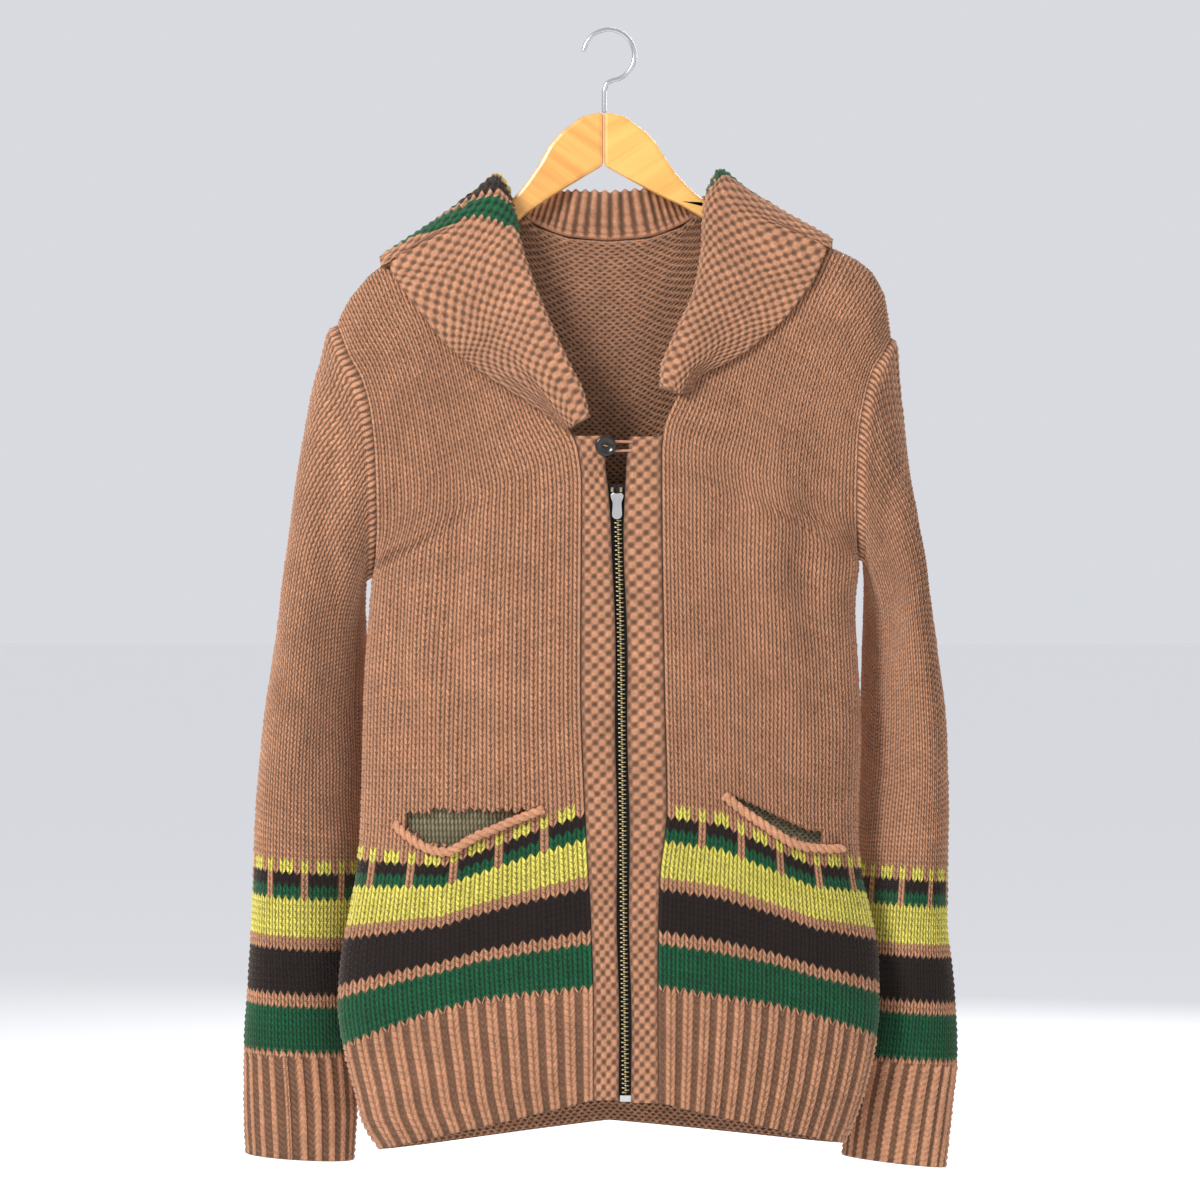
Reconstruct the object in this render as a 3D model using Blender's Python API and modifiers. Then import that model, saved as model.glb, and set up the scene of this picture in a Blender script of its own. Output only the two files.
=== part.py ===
"""A Cowichan cardigan with a shawl collar and a zip, hanging on a flat wooden hanger.

Metres, +Z up. The origin is where a rail bears on the underside of the hook. The front faces -Y,
and left and right are as seen from the front: left is -X. The knitting is a wall of bulky yarn.
Each panel is a loft: rows of stitches run between an inner edge and an outer edge, and the panels
share their edges, where a small gap stands for the seam.
"""

import math

import bmesh
import bpy
import numpy as np
from mathutils import Matrix, Vector

# Driving sizes
CLOTH = 0.004  # thickness of the knitting
GAP = 0.0003  # between neighbouring pieces
FRONT_COLUMNS = 11
ROWS = np.array([0, 0.003, 0.011, 0.04, 0.085, 0.13, 0.18, 0.225, 0.27, 0.30,
                 0.36, 0.43, 0.50, 0.57, 0.64, 0.70, 0.76, 0.82, 0.88, 0.94, 1.0])
UNDERARM = 0.30  # share of the rows, from the shoulder, where the armhole ends
BAND_TOP = 0.27  # share of the rows where the front band starts
UNDERARM_ROW = int(np.argmin(abs(ROWS - UNDERARM)))
BAND_ROW = int(np.argmin(abs(ROWS - BAND_TOP)))

HANGER_THICK = 0.009
HANGER_END = 0.163  # how far an arm reaches to each side
HANGER_DROP = 0.0054  # from the shoulder line down to the arm's top edge
HANGER_CENTRE = -0.0035
HOOK_WIRE = 0.0018
HOOK_RADIUS = 0.0175

ZIP_TOP, ZIP_FOOT = -0.3600, -0.7975  # where the chain starts and ends
TAPE_WIDE, TAPE_THICK = 0.0125, 0.0008
CHAIN_WIDE, CHAIN_THICK = 0.0028, 0.0022
SLIDER_TALL, SLIDER_WIDE, SLIDER_WAIST, SLIDER_PLATE = 0.0116, 0.0095, 0.0066, 0.0012
PULL_LONG, PULL_WIDE, PULL_THICK = 0.0150, 0.0075, 0.0013
BUTTON_ACROSS, BUTTON_THICK = 0.0159, 0.0032
EDGING = 0.0033  # radius of the pocket edging
LINING_DEEP = 0.115  # of the pocket bag, down from the mouth
LINING_ROOM = 0.0095  # of the pocket bag, behind the front

# Shoulder line from the neck point out to the armhole: across, height
SHOULDER = {
    "left": [(-0.0782, -0.1226), (-0.1068, -0.1389), (-0.1408, -0.1586), (-0.1686, -0.1736),
             (-0.1816, -0.1838), (-0.1945, -0.1994), (-0.2020, -0.2123), (-0.2047, -0.2205)],
    "right": [(0.0782, -0.1226), (0.1040, -0.1341), (0.1312, -0.1464), (0.1550, -0.1566),
              (0.1707, -0.1634), (0.1863, -0.1708), (0.1986, -0.1804), (0.2081, -0.1974),
              (0.2108, -0.2150), (0.2128, -0.2300)],
}

# Inner edge of each front, down the neck and the band seam: height, across
NECK_EDGE = {
    "left": [(-0.1226, -0.0782), (-0.1566, -0.0796), (-0.1906, -0.0741), (-0.2314, -0.0612),
             (-0.2790, -0.0422), (-0.3164, -0.0231), (-0.3402, -0.0204), (-0.4898, -0.0211),
             (-0.5918, -0.0177), (-0.6666, -0.0136), (-0.7346, -0.0116), (-0.8012, -0.0116)],
    "right": [(-0.1226, 0.0782), (-0.1566, 0.0796), (-0.1906, 0.0755), (-0.2314, 0.0646),
              (-0.2722, 0.0524), (-0.2994, 0.0415), (-0.3198, 0.0394), (-0.4898, 0.0415),
              (-0.5850, 0.0435), (-0.6360, 0.0381), (-0.7006, 0.0367), (-0.8032, 0.0374)],
}
NECK_DEPTH = [(-0.1226, 0), (-0.1247, -0.0080), (-0.1300, -0.0112), (-0.1566, -0.0145),
              (-0.1906, -0.0195), (-0.2314, -0.0270), (-0.2790, -0.0355), (-0.3164, -0.0405),
              (-0.3402, -0.0420), (-0.4898, -0.0430), (-0.5918, -0.0430), (-0.6666, -0.0420),
              (-0.7346, -0.0400), (-0.8040, -0.0380)]

# Armhole and side seam, from the shoulder to the hem: height, across, depth
SIDE_EDGE = {
    "left": [(-0.2205, -0.2047, 0), (-0.2224, -0.2042, -0.0080), (-0.2275, -0.2020, -0.0125),
             (-0.2456, -0.1945, -0.0240), (-0.2633, -0.1850, -0.0275), (-0.2892, -0.1782, -0.0300),
             (-0.3266, -0.1748, -0.0300), (-0.3674, -0.1741, -0.0240), (-0.3946, -0.1754, -0.0120),
             (-0.4116, -0.1768, 0), (-0.4354, -0.1790, 0.003), (-0.4898, -0.1830, 0.003),
             (-0.5986, -0.1860, 0.003), (-0.6326, -0.1890, 0.003), (-0.6666, -0.1950, 0.003),
             (-0.7006, -0.2010, 0.003), (-0.7346, -0.2030, 0.003), (-0.7658, -0.1990, 0.003),
             (-0.8019, -0.1900, 0.003), (-0.8216, -0.1845, 0.003), (-0.8427, -0.1715, 0.003)],
    "right": [(-0.2300, 0.2128, 0), (-0.2318, 0.2122, -0.0080), (-0.2368, 0.2094, -0.0125),
              (-0.2463, 0.2040, -0.0215), (-0.2558, 0.1979, -0.0260), (-0.2790, 0.1911, -0.0300),
              (-0.3130, 0.1863, -0.0300), (-0.3538, 0.1856, -0.0260), (-0.3810, 0.1863, -0.0140),
              (-0.3980, 0.1870, 0), (-0.4354, 0.1840, 0.003), (-0.4898, 0.1870, 0.003),
              (-0.5306, 0.1885, 0.003), (-0.5986, 0.1865, 0.003), (-0.6326, 0.1890, 0.003),
              (-0.6666, 0.1965, 0.003), (-0.7006, 0.2020, 0.003), (-0.7346, 0.2025, 0.003),
              (-0.7597, 0.2000, 0.003), (-0.7917, 0.1930, 0.003), (-0.8114, 0.1870, 0.003),
              (-0.8379, 0.1760, 0.003)],
}

# Centre of the back, from the neck seam to the hem: height, depth
CENTRE_BACK = [(-0.1566, 0.0125), (-0.1590, 0.0138), (-0.1660, 0.0160), (-0.2100, 0.0210), (-0.2800, 0.0290),
               (-0.4000, 0.0350), (-0.5500, 0.0350), (-0.7000, 0.0310), (-0.8230, 0.0270)]
# Neck seam, left half from the middle: across, depth, height
NECK_SEAM = [(0.0, 0.0125, -0.1566), (-0.030, 0.0125, -0.1545), (-0.055, 0.0125, -0.1460),
             (-0.070, 0.0123, -0.1335), (-0.0755, 0.0110, -0.1258), (-0.0774, 0.0065, -0.1237)]
NECK_SHARES = np.array([0, 0.3, 0.58, 0.78, 0.89, 0.95, 1])  # where the back's neck has its columns

# How each row of a front leaves its side edge: share of the rows, outward, forward
SIDE_TURN = [(0, -0.060, 0.0), (0.20, -0.055, 0.006), (0.31, 0.012, 0.028), (1.0, 0.013, 0.028)]
BACK_TURN = [(0, -0.060, 0.0), (0.20, -0.055, 0.004), (0.31, -0.016, 0.006), (1.0, -0.018, 0.008)]

# Sleeves: share of the length, outer edge (across, height), inner edge (across, height),
# middle depth, half depth, how far the front is turned outwards
SLEEVE = {
    "left": [(0.00, -0.2047, -0.2205, -0.1768, -0.4116, 0.000, 0.030, 0.000),
             (0.03, -0.2108, -0.2240, -0.1842, -0.4160, 0.000, 0.031, 0.000),
             (0.07, -0.2172, -0.2456, -0.1855, -0.4230, 0.002, 0.033, 0.003),
             (0.13, -0.2262, -0.2760, -0.1860, -0.4330, 0.006, 0.036, 0.008),
             (0.20, -0.2346, -0.3266, -0.1858, -0.4480, 0.012, 0.038, 0.014),
             (0.30, -0.2414, -0.3776, -0.1852, -0.4728, 0.019, 0.041, 0.018),
             (0.42, -0.2496, -0.4422, -0.1850, -0.5170, 0.024, 0.043, 0.021),
             (0.55, -0.2598, -0.5136, -0.1850, -0.5680, 0.026, 0.043, 0.021),
             (0.68, -0.2672, -0.5918, -0.1855, -0.6258, 0.030, 0.041, 0.020),
             (0.80, -0.2706, -0.6666, -0.1890, -0.6870, 0.036, 0.036, 0.018),
             (0.88, -0.2747, -0.7244, -0.1925, -0.7346, 0.041, 0.031, 0.013),
             (0.93, -0.2774, -0.7686, -0.1940, -0.7740, 0.040, 0.027, 0.010),
             (0.97, -0.2774, -0.8114, -0.1925, -0.8162, 0.038, 0.025, 0.008),
             (1.00, -0.2760, -0.8490, -0.1945, -0.8550, 0.036, 0.024, 0.006)],
    "right": [(0.00, 0.2128, -0.2300, 0.1870, -0.3980, 0.000, 0.030, 0.000),
              (0.03, 0.2172, -0.2345, 0.1940, -0.4020, 0.000, 0.031, 0.000),
              (0.07, 0.2194, -0.2600, 0.1955, -0.4090, 0.002, 0.033, 0.003),
              (0.13, 0.2242, -0.2926, 0.1960, -0.4190, 0.006, 0.036, 0.008),
              (0.20, 0.2298, -0.3402, 0.1958, -0.4380, 0.012, 0.038, 0.014),
              (0.30, 0.2373, -0.3878, 0.1950, -0.4694, 0.019, 0.041, 0.017),
              (0.42, 0.2468, -0.4558, 0.1935, -0.5170, 0.024, 0.043, 0.019),
              (0.55, 0.2543, -0.5238, 0.1920, -0.5680, 0.026, 0.043, 0.019),
              (0.68, 0.2564, -0.5986, 0.1890, -0.6292, 0.030, 0.041, 0.018),
              (0.80, 0.2564, -0.6666, 0.1880, -0.6870, 0.037, 0.036, 0.016),
              (0.88, 0.2625, -0.7210, 0.1905, -0.7346, 0.042, 0.031, 0.013),
              (0.93, 0.2652, -0.7720, 0.1880, -0.7767, 0.041, 0.027, 0.010),
              (0.97, 0.2618, -0.8114, 0.1820, -0.8162, 0.039, 0.025, 0.008),
              (1.00, 0.2564, -0.8600, 0.1785, -0.8515, 0.037, 0.024, 0.006)],
}
SLEEVE_RINGS = np.array([0, 0.03, 0.07, 0.12, 0.18, 0.25, 0.33, 0.42, 0.51, 0.60,
                         0.69, 0.77, 0.84, 0.90, 0.95, 1.0])

# Inner edges of the front bands along the zip: height, left band, right band
BAND_EDGE = [(-0.3058, 0.0005, 0.0150), (-0.3252, -0.0030, 0.0124), (-0.3470, -0.0003, 0.0118),
             (-0.3742, 0.0022, 0.0112), (-0.4898, 0.0050, 0.0136), (-0.6326, 0.0062, 0.0150),
             (-0.7822, 0.0078, 0.0166), (-0.8040, 0.0080, 0.0168)]
ZIP_LINE = [(-0.3400, 0.0054), (-0.3742, 0.0068), (-0.4898, 0.0092), (-0.6326, 0.0106),
            (-0.7822, 0.0122), (-0.8040, 0.0126)]  # height, across

# Collar: share of the rows down the neck edge where it is sewn on, how far its fold stands over
# the neck opening, how far the fold is lifted off the front, outer edge of its fall (across, height)
COLLAR_FRONT = {
    "left": [(0.006, 0.0025, 0.0125, -0.1690, -0.1715), (0.030, 0.008, 0.011, -0.1640, -0.1800),
             (0.070, 0.0125, 0.010, -0.1510, -0.2008), (0.122, 0.016, 0.009, -0.1204, -0.2382),
             (0.180, 0.019, 0.008, -0.0972, -0.2565), (0.236, 0.021, 0.0065, -0.0430, -0.2930),
             (0.262, 0.015, 0.0055, -0.0330, -0.3030)],
    "right": [(0.006, 0.0025, 0.0155, 0.1666, -0.1560), (0.025, 0.007, 0.0125, 0.1618, -0.1668),
              (0.062, 0.0075, 0.010, 0.1516, -0.1906), (0.113, 0.008, 0.009, 0.1312, -0.2178),
              (0.162, 0.013, 0.008, 0.1040, -0.2416), (0.209, 0.016, 0.0065, 0.0660, -0.2640),
              (0.224, 0.012, 0.0055, 0.0600, -0.2745)],
}
# The same across the back, by the place on the neck seam (across)
COLLAR_BACK = [(-0.0765, 0.002, 0.0130, -0.1690, -0.1765), (-0.0740, 0.005, 0.0125, -0.1680, -0.1810),
               (-0.0690, 0.012, 0.0120, -0.1620, -0.1950), (-0.0550, 0.026, 0.010, -0.1200, -0.2140),
               (-0.0300, 0.033, 0.009, -0.0600, -0.2180), (0.0, 0.034, 0.009, 0.0, -0.2170),
               (0.0300, 0.034, 0.009, 0.0600, -0.2150), (0.0550, 0.028, 0.010, 0.1200, -0.2060),
               (0.0690, 0.012, 0.0135, 0.1600, -0.1850), (0.0740, 0.005, 0.0150, 0.1650, -0.1670),
               (0.0765, 0.002, 0.0155, 0.1664, -0.1625)]

# Lower lips of the pocket mouths: across, height
POCKET_LIP = {
    "left": [(-0.1591, -0.5958), (-0.1544, -0.6006), (-0.1482, -0.6060), (-0.1421, -0.6101),
             (-0.1360, -0.6135), (-0.1272, -0.6162), (-0.1176, -0.6160), (-0.1068, -0.6094),
             (-0.0966, -0.6033), (-0.0857, -0.5992), (-0.0755, -0.5945), (-0.0653, -0.5904),
             (-0.0544, -0.5863), (-0.0490, -0.5843)],
    "right": [(0.0857, -0.5741), (0.0945, -0.5812), (0.1037, -0.5884), (0.1149, -0.5958),
              (0.1265, -0.6040), (0.1350, -0.6094), (0.1455, -0.6128), (0.1612, -0.6145),
              (0.1740, -0.6145)],
}
# Upper lips, back from the end of the lower lip: across, height
POCKET_TOP = {
    "left": [(-0.0700, -0.5850), (-0.1000, -0.5850), (-0.1300, -0.5850), (-0.1500, -0.5870)],
    "right": [(0.1600, -0.6020), (0.1400, -0.5960), (0.1200, -0.5850), (0.1000, -0.5765)],
}


def smooth(where, knots, values):
    """Values read from a short table by a cubic that keeps the table's own rises and falls."""
    knots, values = np.asarray(knots, float), np.asarray(values, float)
    step = np.diff(knots)
    rise = np.diff(values) / step
    slope = np.zeros(len(knots))
    slope[0], slope[-1] = rise[0], rise[-1]
    for k in range(1, len(knots) - 1):
        if rise[k - 1] * rise[k] > 0:
            slope[k] = 2 * rise[k - 1] * rise[k] / (rise[k - 1] + rise[k])
    k = np.clip(np.searchsorted(knots, where, side="right") - 1, 0, len(step) - 1)
    f = np.clip((where - knots[k]) / step[k], 0, 1)
    start, end = values[k], values[k + 1]
    return ((1 + 2 * f) * (1 - f) ** 2 * start + f * (1 - f) ** 2 * step[k] * slope[k]
            + f * f * (3 - 2 * f) * end + f * f * (f - 1) * step[k] * slope[k + 1])


def down(table, height, column):
    """A column of a table whose first column is a falling height."""
    table = np.array(table, float)
    return smooth(-np.asarray(height, float), -table[:, 0], table[:, column])


def along(points, shares):
    """Points of a polyline at the given shares of its length, or a number of them spaced evenly."""
    points = np.asarray(points, float)
    reach = np.concatenate([[0], np.cumsum(np.linalg.norm(np.diff(points, axis=0), axis=1))])
    if np.ndim(shares) == 0:
        shares = np.linspace(0, 1, shares)
    where = np.asarray(shares) * reach[-1]
    return np.stack([np.interp(where, reach, points[:, k]) for k in range(points.shape[1])], 1)


def inner_edge(side, rows):
    table = np.array(NECK_EDGE[side], float)
    height = table[0, 0] + (table[-1, 0] - table[0, 0]) * rows
    return np.stack([down(table, height, 1), down(NECK_DEPTH, height, 1), height], 1)


def side_edge(side, rows):
    table = np.array(SIDE_EDGE[side], float)
    arm = {"left": -0.4116, "right": -0.3980}[side]
    height = smooth(rows, [0, UNDERARM, 1], [table[0, 0], arm, table[-1, 0]])
    return np.stack([down(table, height, 1), down(table, height, 2), height], 1)


def turned_row(inner, outer, turn, forward, samples):
    """One row of stitches: a cubic curve that leaves the inner edge straight outwards and turns
    round to the side edge, with its points spaced evenly."""
    across = outer[0] - inner[0]
    first = inner + np.array([0.42 * across, 0, 0.42 * (outer[2] - inner[2])])
    second = outer + np.array([math.copysign(turn[0], across * turn[0]), forward * turn[1], 0])
    s = np.linspace(0, 1, 4 * samples)[:, None]
    return along((1 - s) ** 3 * inner + 3 * s * (1 - s) ** 2 * first
                 + 3 * s * s * (1 - s) * second + s ** 3 * outer, samples)


def turned_rows(inner, outer, top, turns, forward, rows, columns, samples=80):
    """The rows of a panel from its inner edge to its side edge. Near the shoulder they are pulled
    to the shoulder line, top."""
    turns = np.array(turns)
    top = along(top, samples)
    grid = []
    for k, row in enumerate(rows):
        turn = [smooth(row, turns[:, 0], turns[:, c]) for c in (1, 2)]
        curve = turned_row(inner[k], outer[k], turn, forward, samples)
        if k == 0:
            pull = top - curve
            curve = top
        else:
            curve += max(0.0, 1 - row / UNDERARM) ** 2 * pull * [1, 0, 1]
        grid.append(along(curve, columns))
    return np.array(grid)


def front_panel(side, columns, rows):
    """Outer surface of a front: rows of stitches from the inner edge to the side edge."""
    shoulder = np.array([(x, 0, z) for x, z in SHOULDER[side]], float)
    return turned_rows(inner_edge(side, rows), side_edge(side, rows), shoulder, SIDE_TURN, -1,
                       rows, columns)


def back_panel(neck_shares, shoulder_columns, rows):
    """Outer surface of the back: its rows from the left side edge, round the back, to the right.
    The neck point of each shoulder is one of its points."""
    centre = np.array(CENTRE_BACK)
    height = centre[0, 0] + (centre[-1, 0] - centre[0, 0]) * rows
    inner = np.stack([0 * height, down(centre, height, 1), height], 1)
    halves = []
    for side, mirror in (("left", 1), ("right", -1)):
        outer = side_edge(side, rows)
        outer[rows < UNDERARM, 1] *= -1
        neck = np.array(NECK_SEAM, float) * [mirror, 1, 1]
        shoulder = np.array([(x, 0, z) for x, z in SHOULDER[side]], float)
        top = np.concatenate([neck, shoulder])
        reach = np.cumsum(np.linalg.norm(np.diff(top, axis=0), axis=1))
        corner = reach[len(neck) - 1] / reach[-1]
        shares = np.concatenate([corner * neck_shares,
                                 np.linspace(corner, 1, shoulder_columns)[1:]])
        halves.append(turned_rows(inner, outer, top, BACK_TURN, 1, rows, shares, samples=400))
    return np.concatenate([halves[0][:, ::-1], halves[1][:, 1:]], axis=1)


def sleeve_tube(side, loop, share):
    """Outer surface of a sleeve: rings that start as the armhole and turn into flattened ovals."""
    table = np.array(SLEEVE[side], float)
    outer_x, outer_z, inner_x, inner_z, middle, deep, shear = (
        smooth(share, table[:, 0], table[:, c])[:, None] for c in range(1, 8))
    closed = np.concatenate([loop, loop[:1]])
    reach = np.concatenate([[0], np.cumsum(np.linalg.norm(np.diff(closed, axis=0), axis=1))])
    angle = (2 * np.pi * reach[:-1] / reach[-1])[None]
    outward = math.copysign(1, outer_x[0, 0])
    half_x, half_z = (outer_x - inner_x) / 2, (outer_z - inner_z) / 2
    lean = np.sqrt(np.clip(half_x ** 2 - shear ** 2, 0, None) / np.maximum(half_x ** 2, 1e-9))
    ovals = np.stack([
        (outer_x + inner_x) / 2 + half_x * lean * np.cos(angle) + outward * shear * np.sin(angle),
        middle - deep * np.sin(angle),
        (outer_z + inner_z) / 2 + half_z * np.cos(angle)], 2)
    settle = np.clip(1 - share / 0.22, 0, 1)
    settle = (settle * settle * (3 - 2 * settle))[:, None, None]
    return ovals + settle * (loop - ovals[0])[None]


def face_normals(grid, closed=False):
    """Unit normals at the grid's points, from the differences of its neighbours."""
    down_grid = np.gradient(grid, axis=0)
    if closed:
        across = np.roll(grid, -1, axis=1) - np.roll(grid, 1, axis=1)
    else:
        across = np.gradient(grid, axis=1)
    normal = np.cross(across, down_grid)
    return normal / np.maximum(np.linalg.norm(normal, axis=2, keepdims=True), 1e-12)


def material(name, colour, roughness, metallic=0.0):
    made = bpy.data.materials.new(name)
    made.use_nodes = True
    shader = made.node_tree.nodes["Principled BSDF"]
    shader.inputs["Base Color"].default_value = (*colour, 1)
    shader.inputs["Roughness"].default_value = roughness
    shader.inputs["Metallic"].default_value = metallic
    return made


def keep(name, mesh, finish):
    """Links a mesh as an object of the garment, shaded smooth, with its own material."""
    made = bpy.data.objects.new(name, mesh)
    parts.objects.link(made)
    mesh.materials.append(material(name, *finish))
    mesh.shade_smooth()
    return made


def wall(name, outer, inner, finish, closed=False):
    """A closed wall between two grids of the same size. Neighbouring panels share the direction of
    their walls at a seam, which Solidify can't do, so the rims are made here."""
    rows, columns = outer.shape[:2]
    points = np.concatenate([outer.reshape(-1, 3), inner.reshape(-1, 3)])
    index = np.arange(rows * columns).reshape(rows, columns)
    under = index + rows * columns
    across = columns if closed else columns - 1
    faces = []
    for r in range(rows - 1):
        for c in range(across):
            d = (c + 1) % columns
            faces.append((index[r, c], index[r + 1, c], index[r + 1, d], index[r, d]))
            faces.append((under[r, d], under[r + 1, d], under[r + 1, c], under[r, c]))
    for c in range(across):
        d = (c + 1) % columns
        faces.append((index[0, c], index[0, d], under[0, d], under[0, c]))
        faces.append((index[-1, d], index[-1, c], under[-1, c], under[-1, d]))
    if not closed:
        for r in range(rows - 1):
            faces.append((index[r + 1, 0], index[r, 0], under[r, 0], under[r + 1, 0]))
            faces.append((index[r, -1], index[r + 1, -1], under[r + 1, -1], under[r, -1]))
    mesh = bpy.data.meshes.new(name)
    mesh.from_pydata(points.tolist(), [], [tuple(int(v) for v in f) for f in faces])
    shape = bmesh.new()
    shape.from_mesh(mesh)
    bmesh.ops.triangulate(shape, faces=shape.faces)
    bmesh.ops.recalc_face_normals(shape, faces=shape.faces)
    shape.to_mesh(mesh)
    shape.free()
    return keep(name, mesh, finish)


def solid_strip(name, centre, across_half, thick, finish):
    """A strip along a polyline: a rectangle across_half to each side in X and thick in Y."""
    left = centre - np.array([across_half, 0, 0])
    right = centre + np.array([across_half, 0, 0])
    front = np.stack([left, right], 1)
    return wall(name, front, front + np.array([0, thick, 0]), finish)


def tube(name, points, radius, finish, resolution=2):
    curve = bpy.data.curves.new(name, "CURVE")
    curve.dimensions = "3D"
    curve.bevel_depth = radius
    curve.bevel_resolution = resolution
    curve.use_fill_caps = True
    spline = curve.splines.new("POLY")
    spline.points.add(len(points) - 1)
    for point, place in zip(spline.points, points):
        point.co = (*place, 1)
    made = bpy.data.objects.new(name, curve)
    parts.objects.link(made)
    curve.materials.append(material(name, *finish))
    return made


def outline(name, points, half, finish, bevel=0.0):
    """A flat shape in the XZ plane, given by (across, height), half to each side in Y."""
    curve = bpy.data.curves.new(name, "CURVE")
    curve.dimensions = "2D"
    curve.fill_mode = "BOTH"
    curve.extrude = half
    spline = curve.splines.new("POLY")
    spline.use_cyclic_u = True
    spline.points.add(len(points) - 1)
    for point, place in zip(spline.points, points):
        point.co = (place[0], place[1], 0, 1)
    flat = bpy.data.objects.new(name, curve)
    parts.objects.link(flat)
    flat.rotation_euler = (math.pi / 2, 0, 0)
    bpy.context.view_layer.update()
    made = bpy.data.meshes.new_from_object(
        flat.evaluated_get(bpy.context.evaluated_depsgraph_get()))
    made.transform(flat.matrix_world)
    bpy.data.objects.remove(flat)
    shape = bmesh.new()
    shape.from_mesh(made)
    bmesh.ops.remove_doubles(shape, verts=shape.verts, dist=1e-6)
    bmesh.ops.recalc_face_normals(shape, faces=shape.faces)
    shape.to_mesh(made)
    shape.free()
    made.materials.clear()
    made.name = name
    solid = keep(name, made, finish)
    if bevel:
        rounded = solid.modifiers.new("Bevel", "BEVEL")
        rounded.width = bevel
        rounded.segments = 2
        rounded.limit_method = "ANGLE"
        rounded.angle_limit = math.radians(50)
    return solid


def block(name, low, high, finish=None):
    """A box between two corners, as an object of the garment or, with no finish, as a cutter."""
    shape = bmesh.new()
    bmesh.ops.create_cube(shape, size=1)
    low, high = Vector(low), Vector(high)
    shape.transform(Matrix.Translation((low + high) / 2) @ Matrix.Diagonal((*(high - low), 1)))
    mesh = bpy.data.meshes.new(name)
    shape.to_mesh(mesh)
    shape.free()
    if finish:
        return keep(name, mesh, finish)
    made = bpy.data.objects.new(name, mesh)
    helpers.objects.link(made)
    made.hide_render = True
    made.display_type = "WIRE"
    return made


def combine(target, other, operation):
    """Boolean of target with a helper object, kept as a modifier."""
    change = target.modifiers.new(other.name, "BOOLEAN")
    change.operation = operation
    change.solver = "EXACT"
    change.object = other


for old in list(bpy.data.objects):
    bpy.data.objects.remove(old)
parts = bpy.data.collections.new("Cowichan cardigan")
helpers = bpy.data.collections.new("Cutters")
bpy.context.scene.collection.children.link(parts)
bpy.context.scene.collection.children.link(helpers)

YARN = ((0.58, 0.29, 0.17), 0.95)
BLACK_TAPE = ((0.02, 0.02, 0.02), 0.9)
WOOD = ((0.86, 0.52, 0.16), 0.35)
STEEL = ((0.80, 0.80, 0.78), 0.25, 1.0)

# The knitted body and sleeves. Their outer surfaces share their edges' points; where points
# coincide their normals are added, so that the walls of neighbours meet in one plane.
surfaces = {}
for side in ("left", "right"):
    panel = front_panel(side, FRONT_COLUMNS, ROWS)
    surfaces["front_" + side] = (panel if side == "left" else panel[:, ::-1], False)
back = back_panel(NECK_SHARES, FRONT_COLUMNS, ROWS)
surfaces["back"] = (back, False)
for side in ("left", "right"):
    front_arm = side_edge(side, ROWS[:UNDERARM_ROW + 1])
    back_arm = front_arm * [1, -1, 1]
    loop = np.concatenate([front_arm, back_arm[-2:0:-1]])
    rings = sleeve_tube(side, loop, SLEEVE_RINGS)
    surfaces["sleeve_" + side] = (rings if side == "right" else rings[:, ::-1], True)
for side in ("left", "right"):
    rows = ROWS[BAND_ROW:]
    seam = inner_edge(side, rows)
    zip_side = seam.copy()
    zip_side[:, 0] = down(BAND_EDGE, seam[:, 2], 1 if side == "left" else 2)
    pair = np.stack([zip_side, (seam + zip_side) / 2, seam], 1)
    surfaces["band_" + side] = (pair if side == "left" else pair[:, ::-1], False)

outward = {}
for name, (grid, closed) in surfaces.items():
    outward[name] = face_normals(grid, closed)
sums = {}
for name, (grid, closed) in surfaces.items():
    for key, normal in zip(map(tuple, np.round(grid.reshape(-1, 3), 5)), outward[name].reshape(-1, 3)):
        sums[key] = sums.get(key, np.zeros(3)) + normal
for name, (grid, closed) in surfaces.items():
    keys = map(tuple, np.round(grid.reshape(-1, 3), 5))
    shared = np.array([sums[key] for key in keys]).reshape(grid.shape)
    if not closed:
        shared[0, abs(grid[0, :, 1]) < 1e-4, 1] = 0  # the shoulder seam is an upright plane
    direction = shared / np.linalg.norm(shared, axis=2, keepdims=True)
    eased = grid.copy()
    eased[0] += (grid[1] - grid[0]) / np.linalg.norm(grid[1] - grid[0], axis=1, keepdims=True) * GAP
    if not closed:
        for edge, beside in ((0, 1), (-1, -2)):
            step = grid[:, beside] - grid[:, edge]
            eased[:, edge] += step / np.linalg.norm(step, axis=1, keepdims=True) * GAP
    wall(name, eased, eased - direction * CLOTH, YARN, closed)


def dense(name):
    """A fine grid of a panel's outer surface and its outward normals."""
    rows = np.linspace(0, 1, 321) ** 1.15
    if name == "back":
        grid = back_panel(np.linspace(0, 1, 41), 81, rows)
    else:
        grid = front_panel(name, 101, rows)
        grid = grid if name == "left" else grid[:, ::-1]
    normals = face_normals(grid)
    normals[0, abs(grid[0, :, 1]) < 1e-4, 1] = 0
    return grid, normals / np.linalg.norm(normals, axis=2, keepdims=True)


fine = {name: dense(name) for name in ("left", "right", "back")}


def nearest(name, across, height):
    """Row and column of the fine grid's point nearest to a place seen from the front."""
    grid = fine[name][0]
    far = (grid[..., 0] - across) ** 2 + (grid[..., 2] - height) ** 2
    return np.unravel_index(np.argmin(far), far.shape)


def on_panel(name, places, lift):
    """Points over the panel at the given (across, height), lifted off it along its normals."""
    grid, normals = fine[name]
    made = []
    for (across, height), up in zip(places, np.broadcast_to(lift, len(places))):
        row, column = nearest(name, across, height)
        point, normal = grid[row, column], normals[row, column]
        off = np.array([across - point[0], 0, height - point[2]])
        off[1] = -(normal[0] * off[0] + normal[2] * off[2]) / normal[1]
        made.append(point + off + normal * up)
    return np.array(made)


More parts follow.
